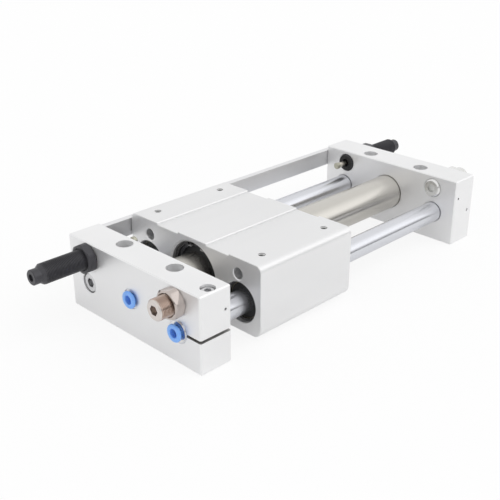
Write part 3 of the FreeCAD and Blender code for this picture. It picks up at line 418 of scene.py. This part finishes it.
def paint_slit_shade(material, axis, half, slit_shade):
    """Paint shade on the walls of a slit that runs from the -Y side to an axis that is parallel to X."""
    tree = material.node_tree
    place = node(tree, "TexCoord")
    split = node(tree, "SeparateXYZ")
    level = node(tree, "Math", {1: axis[1], 2: half}, operation="COMPARE")
    beside = node(tree, "Math", {1: axis[0]}, operation="LESS_THAN")
    inside = node(tree, "Math", operation="MULTIPLY")
    wire(tree,
         (place.outputs["Object"], split.inputs["Vector"]),
         (split.outputs["Z"], level.inputs[0]),
         (split.outputs["Y"], beside.inputs[0]),
         (level.outputs["Value"], inside.inputs[0]),
         (beside.outputs["Value"], inside.inputs[1]))
    recolour(material, inside.outputs["Value"], slit_shade)


# A copy of the plate finish with painted shade on the walls of the clamp slit.
clamp_metal_with_slit_shade = plate_metal.copy()
clamp_metal_with_slit_shade.name = "milled_clamp_slit_shade"
paint_slit_shade(clamp_metal_with_slit_shade, axis_of("guide_shaft_right"), SLIT_WIDTH / 2 + SLIT_MARGIN, SLIT_SHADE_COLOUR)
paint(clamp_metal_with_slit_shade, "front_plate")

# %% [markdown]
# The tube is ground stainless steel, slightly warm beside the aluminium. The guide shafts are ground,
# hard chromed and polished, so they mirror the studio, and the piston rod and the strike rods are like
# them. Grinding marks run round such a bar and stretch each reflection along it. They are far too fine
# to model, so the Tangent node tells the shader which way they run.


# %% Tube and shafts
STRETCHED = 1
QUARTER_TURN = 0.25


def ground_round(material):
    """Let the marks of a grinder run round X."""
    tree = material.node_tree
    shader = tree.nodes["Principled BSDF"]
    around = node(tree, "Tangent", direction_type="RADIAL", axis="X")
    wire(tree, (around.outputs["Tangent"], shader.inputs["Tangent"]))
    shader.inputs["Anisotropic"].default_value = STRETCHED
    shader.inputs["Anisotropic Rotation"].default_value = QUARTER_TURN


tube_metal = finish(
    "ground_stainless", (0.63, 0.61, 0.57), metal=1, rough=0.19,
    marks=(LINES, density(6000, 20), 0.05),
    shade=(LINES, density(900, 8), 0.97),
    relief=(LINES, density(8000, 20), 0.002 * MM))
shaft_metal = finish(
    "hard_chrome", (0.73, 0.74, 0.78), metal=1, rough=0.205,
    marks=(LINES, density(6000, 15), 0.035),
    shade=(HANDLING, density(20), 0.96),
    relief=(LINES, density(8000, 20), 0.001 * MM))
ground_round(tube_metal)
ground_round(shaft_metal)
paint(tube_metal, "cylinder_tube")
paint(shaft_metal, "guide_shaft_left", "guide_shaft_right", "piston_rod", "strike_rods")

# %% [markdown]
# Steel gets its colour from what protects it. The shock absorbers and their nuts are blackened, and
# the coupler's end collars get the same black as a painted shade for the deep bore that they line.
# The front stop bolt and its nut are nickel plated with a brownish cast. The rear ones are painted a
# pale bright nickel, a painted reflection of the pale room, and the fitting of the shaft port and the
# wire threads are a clean bright nickel. The small screws are zinc plated, and the sleeves and yokes
# have the straw colour of hardened steel.

# %% Blackened, nickel and zinc steel
# This black is the real colour of the shock absorbers and nuts, and a painted shade on the coupler's end
# collars.
black_metal_and_bore_shade = finish(
    "black_oxide_and_bore_shade", (0.057, 0.056, 0.063), metal=0.3, rough=0.38,
    marks=(GRAIN, FINE, 0.08),
    shade=(HANDLING, density(60), 0.8),
    relief=(GRAIN, FINE, 0.004 * MM))
nickel_metal = finish(
    "warm_nickel", (0.57, 0.51, 0.48), metal=1, rough=0.15,
    marks=(GRAIN, FINE, 0.04),
    shade=(HANDLING, density(70), 0.92),
    relief=(GRAIN, FINE, 0.002 * MM))
# Bright nickel is the real colour of the shaft port's fitting and the wire threads; on the rear stop bolt
# and nut it is a painted reflection of the pale room.
bright_nickel_and_painted_reflection = finish(
    "bright_nickel_and_painted_reflection", (0.82, 0.82, 0.81), metal=1, rough=0.2,
    marks=(GRAIN, FINE, 0.04),
    shade=(HANDLING, density(80), 0.92),
    relief=(GRAIN, FINE, 0.002 * MM))
zinc_metal = finish(
    "zinc_plate", (0.72, 0.72, 0.73), metal=1, rough=0.3,
    marks=(GRAIN, FINE, 0.06),
    shade=(HANDLING, density(80), 0.88),
    relief=(GRAIN, FINE, 0.003 * MM))
straw_steel = finish(
    "straw_steel", (0.3, 0.27, 0.2), metal=1, rough=0.34,
    marks=(LINES, density(6000, 20), 0.05),
    shade=(HANDLING, density(70), 0.85),
    relief=(GRAIN, FINE, 0.003 * MM))
paint(black_metal_and_bore_shade, "front_shock_body", "rear_shock_body", "shock_nuts", "shaft_set_screw", "end_collars")
paint(nickel_metal, "stop_bolts", "stop_nuts")
paint(bright_nickel_and_painted_reflection, "shaft_port_fitting")
paint(zinc_metal, "shaft_end_screws", "clamp_screw", "rail_screws", "passage_plug")
paint(straw_steel, "bushing_sleeves", "outer_yokes", "inner_yokes")

# %% [markdown]
# Magnets, clips and snap rings are dark, the rings blued by their hardening. The two ears of a snap
# ring reach further in than the ring does, and they are painted bright, a painted highlight for the
# glint that they catch. So a copy of the blued finish is bright near the tube's axis, with a short
# fade. A bright edge could be painted by hand, but a distance that is worked out stays right if the ring
# is turned.


# %% Blued steel and ears with a painted highlight
EAR_REACH, EAR_FADE = 19.2 * MM, 0.8 * MM
# The colour of the painted highlight on the snap ring ears.
EAR_HIGHLIGHT = (0.42, 0.415, 0.41)


def paint_highlight_inside(material, axis, reach, fade, bright):
    """Paint a highlight on a finish where it is nearer than reach to an axis that is parallel to X."""
    tree = material.node_tree
    place = node(tree, "TexCoord")
    arm = node(tree, "VectorMath", {1: (0, 1, 1), 2: (0, -axis[0], -axis[1])}, operation="MULTIPLY_ADD")
    length = node(tree, "VectorMath", operation="LENGTH")
    near = node(tree, "MapRange", {"From Min": reach, "From Max": reach - fade})
    wire(tree,
         (place.outputs["Object"], arm.inputs[0]),
         (arm.outputs["Vector"], length.inputs[0]),
         (length.outputs["Value"], near.inputs["Value"]))
    recolour(material, near.outputs["Result"], bright)


blued_steel = finish(
    "blued_steel", (0.09, 0.088, 0.088), metal=0.6, rough=0.36,
    marks=(GRAIN, FINE, 0.06),
    shade=(HANDLING, density(70), 0.8),
    relief=(GRAIN, FINE, 0.003 * MM))
ring_with_ear_highlight = blued_steel.copy()
ring_with_ear_highlight.name = "ring_with_ear_highlight"
paint_highlight_inside(ring_with_ear_highlight, axis_of("cylinder_tube"), EAR_REACH, EAR_FADE, EAR_HIGHLIGHT)
paint(blued_steel, "bushing_clips", "outer_magnets", "inner_magnets", "sensor_magnet")
paint(ring_with_ear_highlight, "retaining_rings")

# %% [markdown]
# The release collars are moulded in blue acetal, a plastic that light enters a little way. A brighter
# blue could stand for that glow, but Subsurface also softens the shadows inside the collar. Seals,
# wipers and bumpers are black rubber, and the ball cages and wear rings a dark bearing plastic.

# %% Plastics and rubber
GLOW = {"Coat Weight": 0.2, "Subsurface Weight": 0.15, "Subsurface Radius": (0.4, 0.6, 1.0),
        "Subsurface Scale": 1 * MM}

blue_plastic = finish(
    "blue_acetal", (0.21, 0.46, 1.0), metal=0, rough=0.38,
    marks=(GRAIN, FINE, 0.05),
    shade=(HANDLING, density(120), 0.92),
    relief=(GRAIN, FINE, 0.003 * MM),
    extras=GLOW)
dark_plastic = finish(
    "bearing_plastic", (0.05, 0.05, 0.055), metal=0, rough=0.5,
    marks=(GRAIN, FINE, 0.08),
    shade=(HANDLING, density(90), 0.8),
    relief=(GRAIN, FINE, 0.005 * MM))
rubber = finish(
    "nitrile_rubber", (0.018, 0.018, 0.019), metal=0, rough=0.62,
    marks=(GRAIN, FINE, 0.1),
    shade=(HANDLING, density(90), 0.75),
    relief=(GRAIN, FINE, 0.008 * MM))
paint(blue_plastic, "tube_port_collar", "shaft_port_collar")
paint(dark_plastic, "bushing_cages", "wear_rings", "piston_guides")
paint(rubber, "tube_seals", "shaft_seal", "tube_port_hose_seal", "shaft_port_hose_seal", "scrapers",
      "bushing_seals", "piston_seals", "bumpers")

# %% [markdown]
# The shock absorbers and the stop bolts are threaded from end to end. In the frame they are smooth
# bars, so here each is modelled again with a real thread. A turned piece could be put together from
# cylinders and cones, but one outline gives all its steps at once: a vertex is extruded from point to
# point along half of the section, and spin carries that line round the axis, as a lathe would.


# %% Turned pieces
ROUND_STEPS = 64
CLOSE = 1e-7


def alone(piece):
    bpy.ops.object.select_all(action="DESELECT")
    piece.select_set(True)
    bpy.context.view_layer.objects.active = piece


def drawn_line(name, axis, points):
    """A line through points of (along, radius), beside an axis that is parallel to X."""
    bpy.ops.object.select_all(action="DESELECT")
    bpy.ops.mesh.primitive_plane_add(size=MM, location=(0, *axis))
    line = bpy.context.object
    line.name = name
    bpy.ops.object.mode_set(mode="EDIT")
    bpy.ops.mesh.merge(type="CENTER")
    bpy.ops.transform.translate(value=(points[0][0], 0, points[0][1]))
    for (along, radius), (to_along, to_radius) in zip(points, points[1:]):
        move = (to_along - along, 0, to_radius - radius)
        bpy.ops.mesh.extrude_vertices_move(TRANSFORM_OT_translate={"value": move})
    return line


def closed_up(piece):
    """Merge doubles, turn every face outwards, and put the piece's place in its mesh."""
    bpy.ops.mesh.select_all(action="SELECT")
    bpy.ops.mesh.remove_doubles(threshold=CLOSE)
    bpy.ops.mesh.normals_make_consistent(inside=False)
    bpy.ops.object.mode_set(mode="OBJECT")
    alone(piece)
    bpy.ops.object.transform_apply(location=True, rotation=True, scale=True)
    return piece


def turned(name, axis, points):
    piece = drawn_line(name, axis, points)
    bpy.ops.mesh.select_all(action="SELECT")
    bpy.ops.mesh.spin(steps=ROUND_STEPS, angle=2 * math.pi, center=(0, *axis), axis=(1, 0, 0))
    return closed_up(piece)


print("turned pieces have", ROUND_STEPS, "steps")

# %% [markdown]
# A screw thread is a ridge that climbs one pitch in each turn. Rings on the bar would look alike from
# afar, but they don't climb. The Screw modifier does just that to a small outline, here the cut-off
# triangle of a metric thread. The ridge ends are filled, its crest is held under the chamfers of the
# bar, and a Boolean joins it to the bar, which has the root diameter.


# %% Thread helpers
THREAD_STEPS = 40
CREST_SHARE = 0.15
ROOT_SHARE = 0.8
BURIED = 0.12 * MM


def thread_ridge(axis, first, last, pitch, root, crest):
    foot, top = ROOT_SHARE * pitch / 2, CREST_SHARE * pitch / 2
    ridge = drawn_line("ridge", axis, (
        (first - foot, root - BURIED), (first - top, crest), (first + top, crest),
        (first + foot, root - BURIED), (first - foot, root - BURIED)))
    bpy.ops.mesh.select_all(action="SELECT")
    bpy.ops.mesh.remove_doubles(threshold=CLOSE)
    bpy.ops.object.mode_set(mode="OBJECT")
    climb = ridge.modifiers.new("climb", "SCREW")
    climb.axis = "X"
    climb.screw_offset = pitch
    climb.iterations = int((last - first) / pitch)
    climb.steps = climb.render_steps = THREAD_STEPS
    alone(ridge)
    bpy.ops.object.modifier_apply(modifier="climb")
    bpy.ops.object.mode_set(mode="EDIT")
    bpy.ops.mesh.select_all(action="SELECT")
    bpy.ops.mesh.fill_holes(sides=4)
    return closed_up(ridge)


def keep_under(piece, axis, roof):
    """Pull each vertex towards the axis until its radius is no more than roof(along)."""
    for vertex in piece.data.vertices:
        arm = Vector((0, vertex.co.y - axis[0], vertex.co.z - axis[1]))
        limit = roof(vertex.co.x)
        if arm.length > limit:
            vertex.co -= arm * (1 - limit / arm.length)


def combined(piece, tool, operation):
    alone(piece)
    change = piece.modifiers.new("change", "BOOLEAN")
    change.operation = operation
    change.solver = "EXACT"
    change.object = tool
    bpy.ops.object.modifier_apply(modifier="change")
    bpy.data.objects.remove(tool)


print("a turn of thread has", THREAD_STEPS, "steps")

# %% [markdown]
# Both plates carry the same pieces, so each is modelled once for the front plate and turned half round
# for the rear one. Modelling it twice would invite small differences. A finished piece is then dressed:
# its round faces are shaded smooth, while edges sharper than an angle stay crisp, it gets its finish
# and the body that it rides on, and the frame's nodes that it stands for are hidden.


# %% Copies and dressing
SMOOTH_ANGLE = math.radians(32)


def facing_back(piece, name, axis):
    """A copy for the rear plate: turned half round the upright line through the middle of the axis."""
    alone(piece)
    bpy.ops.object.duplicate()
    copy = bpy.context.object
    copy.name = name
    bpy.ops.transform.rotate(value=math.pi, orient_axis="Z", center_override=(0, axis[0], 0))
    bpy.ops.object.transform_apply(location=True, rotation=True, scale=True)
    return copy


def dressed(piece, material, body, slot, *nodes):
    alone(piece)
    bpy.ops.object.shade_smooth_by_angle(angle=SMOOTH_ANGLE)
    piece.data.materials.clear()
    piece.data.materials.append(material)
    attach(piece, body)
    if nodes:
        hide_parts(*nodes)
    piece.select_set(False)
    print(piece.name, len(piece.data.polygons), "faces")


print("edges over", round(math.degrees(SMOOTH_ANGLE)), "degrees stay crisp")

# %% [markdown]
# A shock absorber is a black barrel with a fine thread from end to end. A cone leads down to a smaller
# tail with a shallow recess, and the bore inside is left open, because the rod slides in it. A solid
# bar would look the same until the rod is pushed in. The flat faces at the nose get the darker rubber
# finish, so that end is darker.

# %% Shock absorbers
FINE_PITCH, FINE_ROOT = 1 * MM, 6.5 * MM
BARREL_RADIUS = 7 * MM
BUTTON_BORE, BUTTON_DEPTH = 3.4 * MM, 4 * MM
GLAND_LENGTH, GLAND_RADIUS = 6 * MM, 2.05 * MM
CHAMBER_LENGTH, CHAMBER_RADIUS = 42 * MM, 5.2 * MM
TAIL_LENGTH, TAIL_RADIUS, TAIL_CONE = 5.2 * MM, 5.2 * MM, 2.6 * MM
RECESS_DEPTH, RECESS_RADIUS, EDGE = 1.5 * MM, 2.5 * MM, 0.5 * MM
FACING_ALONG = 0.5

low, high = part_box("front_shock_body")
shock_axis = axis_of("front_shock_body")
nose, tail = high[0], low[0]
gland = nose - BUTTON_DEPTH
chamber = gland - GLAND_LENGTH
chamber_back = chamber - CHAMBER_LENGTH
cone_start = tail + TAIL_LENGTH
cone_rise = (BARREL_RADIUS - TAIL_RADIUS) / TAIL_CONE
root_start = cone_start + (FINE_ROOT - TAIL_RADIUS) / cone_rise
front_shock = turned("front_shock_barrel", shock_axis, (
    (chamber_back, 0), (chamber_back, CHAMBER_RADIUS), (chamber, CHAMBER_RADIUS), (chamber, GLAND_RADIUS),
    (gland, GLAND_RADIUS), (gland, BUTTON_BORE), (nose, BUTTON_BORE), (nose, FINE_ROOT),
    (root_start, FINE_ROOT), (cone_start, TAIL_RADIUS), (tail + EDGE, TAIL_RADIUS),
    (tail, TAIL_RADIUS - EDGE), (tail, RECESS_RADIUS), (tail + RECESS_DEPTH, RECESS_RADIUS),
    (tail + RECESS_DEPTH, 0)))
ridge = thread_ridge(shock_axis, root_start, nose - FINE_PITCH / 2, FINE_PITCH, FINE_ROOT, BARREL_RADIUS)
keep_under(ridge, shock_axis, lambda along: min(
    BARREL_RADIUS, TAIL_RADIUS + cone_rise * (along - cone_start), BARREL_RADIUS - EDGE + nose - along))
combined(front_shock, ridge, "UNION")
rear_shock = facing_back(front_shock, "rear_shock_barrel", shock_axis)
dressed(front_shock, black_metal_and_bore_shade, "frame", "black_steel", "front_shock_body")
dressed(rear_shock, black_metal_and_bore_shade, "frame", "black_steel", "rear_shock_body")
# The flat faces at the nose get the darker rubber finish.
for piece in (front_shock, rear_shock):
    piece.data.materials.append(rubber)
    for face in piece.data.polygons:
        at_nose = abs(face.center.x) < abs(nose) + FINE_PITCH / 2
        face.material_index = int(at_nose and abs(face.normal.x) > FACING_ALONG)

# %% [markdown]
# The rod of a shock absorber is ground steel, with a hardened button on its tip. The button is painted
# a little darker, a painted shade for its end. They are one piece in the frame. A change of colour
# along that piece would do, but the real button is pressed on and has an edge, so both are turned
# again here, each with its own finish.

# %% Shock rods and buttons
ROD_RADIUS, BUTTON_RADIUS = 2 * MM, 2.7 * MM
BUTTON_LENGTH, BUTTON_ROUND = 3 * MM, 0.6 * MM
HEAD_LENGTH, HEAD_RADIUS, SPIGOT = 6 * MM, 4.9 * MM, 1 * MM

rod_metal = finish(
    "ground_rod", (0.74, 0.7, 0.62), metal=1, rough=0.25,
    marks=(LINES, density(6000, 20), 0.05),
    shade=(HANDLING, density(90), 0.9),
    relief=(LINES, density(8000, 20), 0.001 * MM))
# The button is painted darker than the rod, a painted shade for its end.
button_metal_with_end_shade = finish(
    "button_end_shade", (0.5, 0.49, 0.41), metal=1, rough=0.3,
    marks=(GRAIN, FINE, 0.05),
    shade=(HANDLING, density(120), 0.85),
    relief=(GRAIN, FINE, 0.002 * MM))
low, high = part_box("front_shock_rod")
tip, rod_back = high[0], low[0]
under = tip - BUTTON_LENGTH
front_rod = turned("front_shock_piston", shock_axis, (
    (under + SPIGOT, 0), (under + SPIGOT, ROD_RADIUS), (rod_back + HEAD_LENGTH, ROD_RADIUS),
    (rod_back + HEAD_LENGTH, HEAD_RADIUS), (rod_back, HEAD_RADIUS), (rod_back, 0)))
front_button = turned("front_shock_button", shock_axis, (
    (tip, 0), (tip, BUTTON_RADIUS - BUTTON_ROUND), (tip - BUTTON_ROUND, BUTTON_RADIUS),
    (under, BUTTON_RADIUS), (under, ROD_RADIUS), (under + SPIGOT, ROD_RADIUS), (under + SPIGOT, 0)))
for piece, back_name, material in (
        (front_rod, "rear_shock_piston", rod_metal), (front_button, "rear_shock_button", button_metal_with_end_shade)):
    back = facing_back(piece, back_name, shock_axis)
    dressed(piece, material, "front_shock_plunger", "chromed_shaft", "front_shock_rod")
    dressed(back, material, "rear_shock_plunger", "chromed_shaft", "rear_shock_rod")

# %% [markdown]
# A stop bolt has the same diameter and thread, with chamfered ends and a hexagon socket in each end, so
# that it can be set from either side of the plate. The sockets could be inset and pushed in from the
# end faces, but the thread has cut those faces up, so a six-sided prism cuts the sockets instead. On
# the front bolt the turned ends are paler, and the thread between them is browner and painted darker,
# a painted shade of its grooves. The rear bolt is pale all over, a painted reflection of the room.

# %% Stop bolts
BOLT_CHAMFER, BOLT_LEAD = 1 * MM, 0.2 * MM
SOCKET_ACROSS, SOCKET_DEPTH = 6 * MM, 5 * MM

thread_metal_with_groove_shade = finish(
    "brown_thread_groove_shade", (0.53, 0.43, 0.375), metal=1, rough=0.18,
    marks=(GRAIN, FINE, 0.05),
    shade=(HANDLING, density(70), 0.9),
    relief=(GRAIN, FINE, 0.003 * MM))
end_metal = finish(
    "turned_nickel", (0.72, 0.67, 0.64), metal=1, rough=0.36,
    marks=(GRAIN, FINE, 0.04),
    shade=(HANDLING, density(70), 0.94),
    relief=(GRAIN, FINE, 0.002 * MM))
low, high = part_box("stop_bolts")
stop_axis = axis_of("stop_bolts")
bolt_outer, bolt_inner = low[0], nose + BOLT_LEAD
end_radius = BARREL_RADIUS - BOLT_CHAMFER
slope = FINE_ROOT - end_radius
front_bolt = turned("front_stop_bolt", stop_axis, (
    (bolt_outer, 0), (bolt_outer, end_radius), (bolt_outer + slope, FINE_ROOT),
    (bolt_inner - slope, FINE_ROOT), (bolt_inner, end_radius), (bolt_inner, 0)))
ridge = thread_ridge(stop_axis, bolt_outer + FINE_PITCH / 2, bolt_inner - FINE_PITCH / 2,
                     FINE_PITCH, FINE_ROOT, BARREL_RADIUS)
keep_under(ridge, stop_axis, lambda along: min(
    BARREL_RADIUS, end_radius + max(min(along - bolt_outer, bolt_inner - along), 0)))
combined(front_bolt, ridge, "UNION")
for end in (bolt_outer, bolt_inner):
    bpy.ops.object.select_all(action="DESELECT")
    bpy.ops.mesh.primitive_cylinder_add(
        vertices=6, radius=SOCKET_ACROSS / math.sqrt(3), depth=2 * SOCKET_DEPTH,
        location=(end, *stop_axis), rotation=(0, math.pi / 2, 0))
    combined(front_bolt, bpy.context.object, "DIFFERENCE")
rear_bolt = facing_back(front_bolt, "rear_stop_bolt", stop_axis)
dressed(front_bolt, end_metal, "frame", "nickel_steel", "stop_bolts")
# The rear bolt is painted pale nickel all over, a painted reflection of the room.
dressed(rear_bolt, bright_nickel_and_painted_reflection, "frame", "nickel_steel", "stop_bolts")
# The thread between the turned ends gets the darker brown finish, a painted shade of its grooves.
front_bolt.data.materials.append(thread_metal_with_groove_shade)
for face in front_bolt.data.polygons:
    face.material_index = int(bolt_outer + BOLT_CHAMFER < face.center.x < bolt_inner - BOLT_CHAMFER)

# %% [markdown]
# Each shock absorber and stop bolt is locked by a nut. On a real nut the corners are turned off to a
# round, and the thread starts in a small cone. A bevelled prism would have straight chamfers instead.
# So a ring with that outline is turned first, and what it shares with a six-sided prism is the nut. A
# nut stops wherever it is tight: the angle of its corners is read from the frame.


# %% Lock nuts
ROUND_SHARE, FACE_SHARE = 0.545, 0.475
NUT_CONE, NUT_MOUTH = 0.9 * MM, 0.9 * MM
SHOCK_ACROSS, SHOCK_THICK = 19 * MM, 6.5 * MM
STOP_ACROSS, STOP_THICK = 18 * MM, 7.5 * MM


def corner_turn(node_name, axis, side):
    """The angle, round X from +Y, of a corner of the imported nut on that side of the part."""
    arms = [Vector((vertex.co.y - axis[0], vertex.co.z - axis[1]))
            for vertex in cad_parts[node_name].data.vertices if vertex.co.x * side > 0]
    corner = max(arms, key=lambda arm: arm.length)
    return math.atan2(corner.y, corner.x)


def lock_nut(name, node_name, axis, side, across, thick):
    low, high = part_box(node_name)
    outer = high[0] if side > 0 else low[0]
    inner = outer - side * thick
    mouth, bore = BARREL_RADIUS + NUT_MOUTH, BARREL_RADIUS - BURIED
    round_off, flat = ROUND_SHARE * across, FACE_SHARE * across
    nut = turned(name, axis, (
        (outer, mouth), (outer, flat), (outer - side * NUT_CONE, round_off),
        (inner + side * NUT_CONE, round_off), (inner, flat), (inner, bore),
        (outer - side * NUT_MOUTH, bore), (outer, mouth)))
    corner = Matrix.Rotation(corner_turn(node_name, axis, side), 3, "X")
    lying = Matrix.Rotation(math.pi / 2, 3, "Y")
    bpy.ops.object.select_all(action="DESELECT")
    bpy.ops.mesh.primitive_cylinder_add(
        vertices=6, radius=across / math.sqrt(3), depth=2 * thick,
        location=((inner + outer) / 2, *axis), rotation=(corner @ lying).to_euler())
    combined(nut, bpy.context.object, "INTERSECT")
    return nut


# The rear stop nut is painted pale nickel, a painted reflection of the room.
for end, side, stop_metal in (("front", -1, nickel_metal), ("rear", 1, bright_nickel_and_painted_reflection)):
    dressed(lock_nut(f"{end}_shock_nut", "shock_nuts", shock_axis, side, SHOCK_ACROSS, SHOCK_THICK),
            black_metal_and_bore_shade, "frame", "black_steel", "shock_nuts")
    dressed(lock_nut(f"{end}_stop_nut", "stop_nuts", stop_axis, side, STOP_ACROSS, STOP_THICK),
            stop_metal, "frame", "nickel_steel", "stop_nuts")

# %% [markdown]
# A release collar is a short blue tube with a flange to press on. Its face runs into the rim in a soft
# curve, and under the flange a neck leaves the dark gap that shows how far it can be pushed. A tube with
# a Bevel modifier would round every edge alike, so the outline has the soft edges where the mould has
# them, and is turned like the other round pieces.

# %% Release collars
RIM, NECK, HOSE = 5.9 * MM, 3.7 * MM, 3.05 * MM
FLANGE, MOUTH_EDGE, BACK_EDGE = 1.8 * MM, 0.35 * MM, 0.2 * MM
SOFT_EDGE = 0.6 * MM
CURVE_BACK, CURVE_IN = 0.2 * MM, 0.25 * MM

for port in ("tube_port", "shaft_port"):
    low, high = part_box(f"{port}_collar")
    face, back = low[0], high[0]
    under = face + FLANGE
    collar = turned(f"{port}_release_collar", axis_of(f"{port}_collar"), (
        (face, HOSE + MOUTH_EDGE), (face, RIM - SOFT_EDGE), (face + CURVE_BACK, RIM - CURVE_IN),
        (face + SOFT_EDGE, RIM), (under - BACK_EDGE, RIM), (under, RIM - BACK_EDGE), (under, NECK),
        (back, NECK), (back, HOSE), (face + MOUTH_EDGE, HOSE), (face, HOSE + MOUTH_EDGE)))
    dressed(collar, blue_plastic, f"{port}_release", "blue_plastic", f"{port}_collar")

# %% [markdown]
# The tapped holes of the table are lined with wire thread, whose bright turns catch the light. A bump in
# the finish can't stand out from the wall of a hole, so the wire is modelled. One coil is wound along X
# with the thread helper, stood upright, and copied into the four holes.

# %% Wire threads of the table
WIRE_PITCH, WIRE_LENGTH = 0.8 * MM, 7 * MM
HOLE_RADIUS, WIRE_RADIUS, WIRE_DROP = 2.5 * MM, 2.2 * MM, 0.3 * MM
PITCH_X, PITCH_Y = 60 * MM, 102 * MM
CORNERS = ((-1, -1), (1, -1), (-1, 1), (1, 1))

low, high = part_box("carriage_block")
middle = (low + high) / 2
coil = thread_ridge((0, 0), 0, WIRE_LENGTH, WIRE_PITCH, HOLE_RADIUS + 2 * BURIED, WIRE_RADIUS)
alone(coil)
bpy.ops.transform.rotate(value=math.pi / 2, orient_axis="Y", center_override=(0, 0, 0))
bpy.ops.object.transform_apply(location=True, rotation=True, scale=True)
top_turn = max(vertex.co.z for vertex in coil.data.vertices)
coils = [coil]
while len(coils) < len(CORNERS):
    alone(coil)
    bpy.ops.object.duplicate()
    coils.append(bpy.context.object)
for copy, (along, across) in zip(coils, CORNERS):
    alone(copy)
    bpy.ops.transform.translate(value=(
        middle[0] + along * PITCH_X / 2, middle[1] + across * PITCH_Y / 2, high[2] - WIRE_DROP - top_turn))
for copy in coils:
    copy.select_set(True)
bpy.context.view_layer.objects.active = coil
bpy.ops.object.join()
bpy.ops.object.transform_apply(location=True, rotation=True, scale=True)
coil.name = "table_wire_threads"
dressed(coil, bright_nickel_and_painted_reflection, "carriage", "zinc_screws")
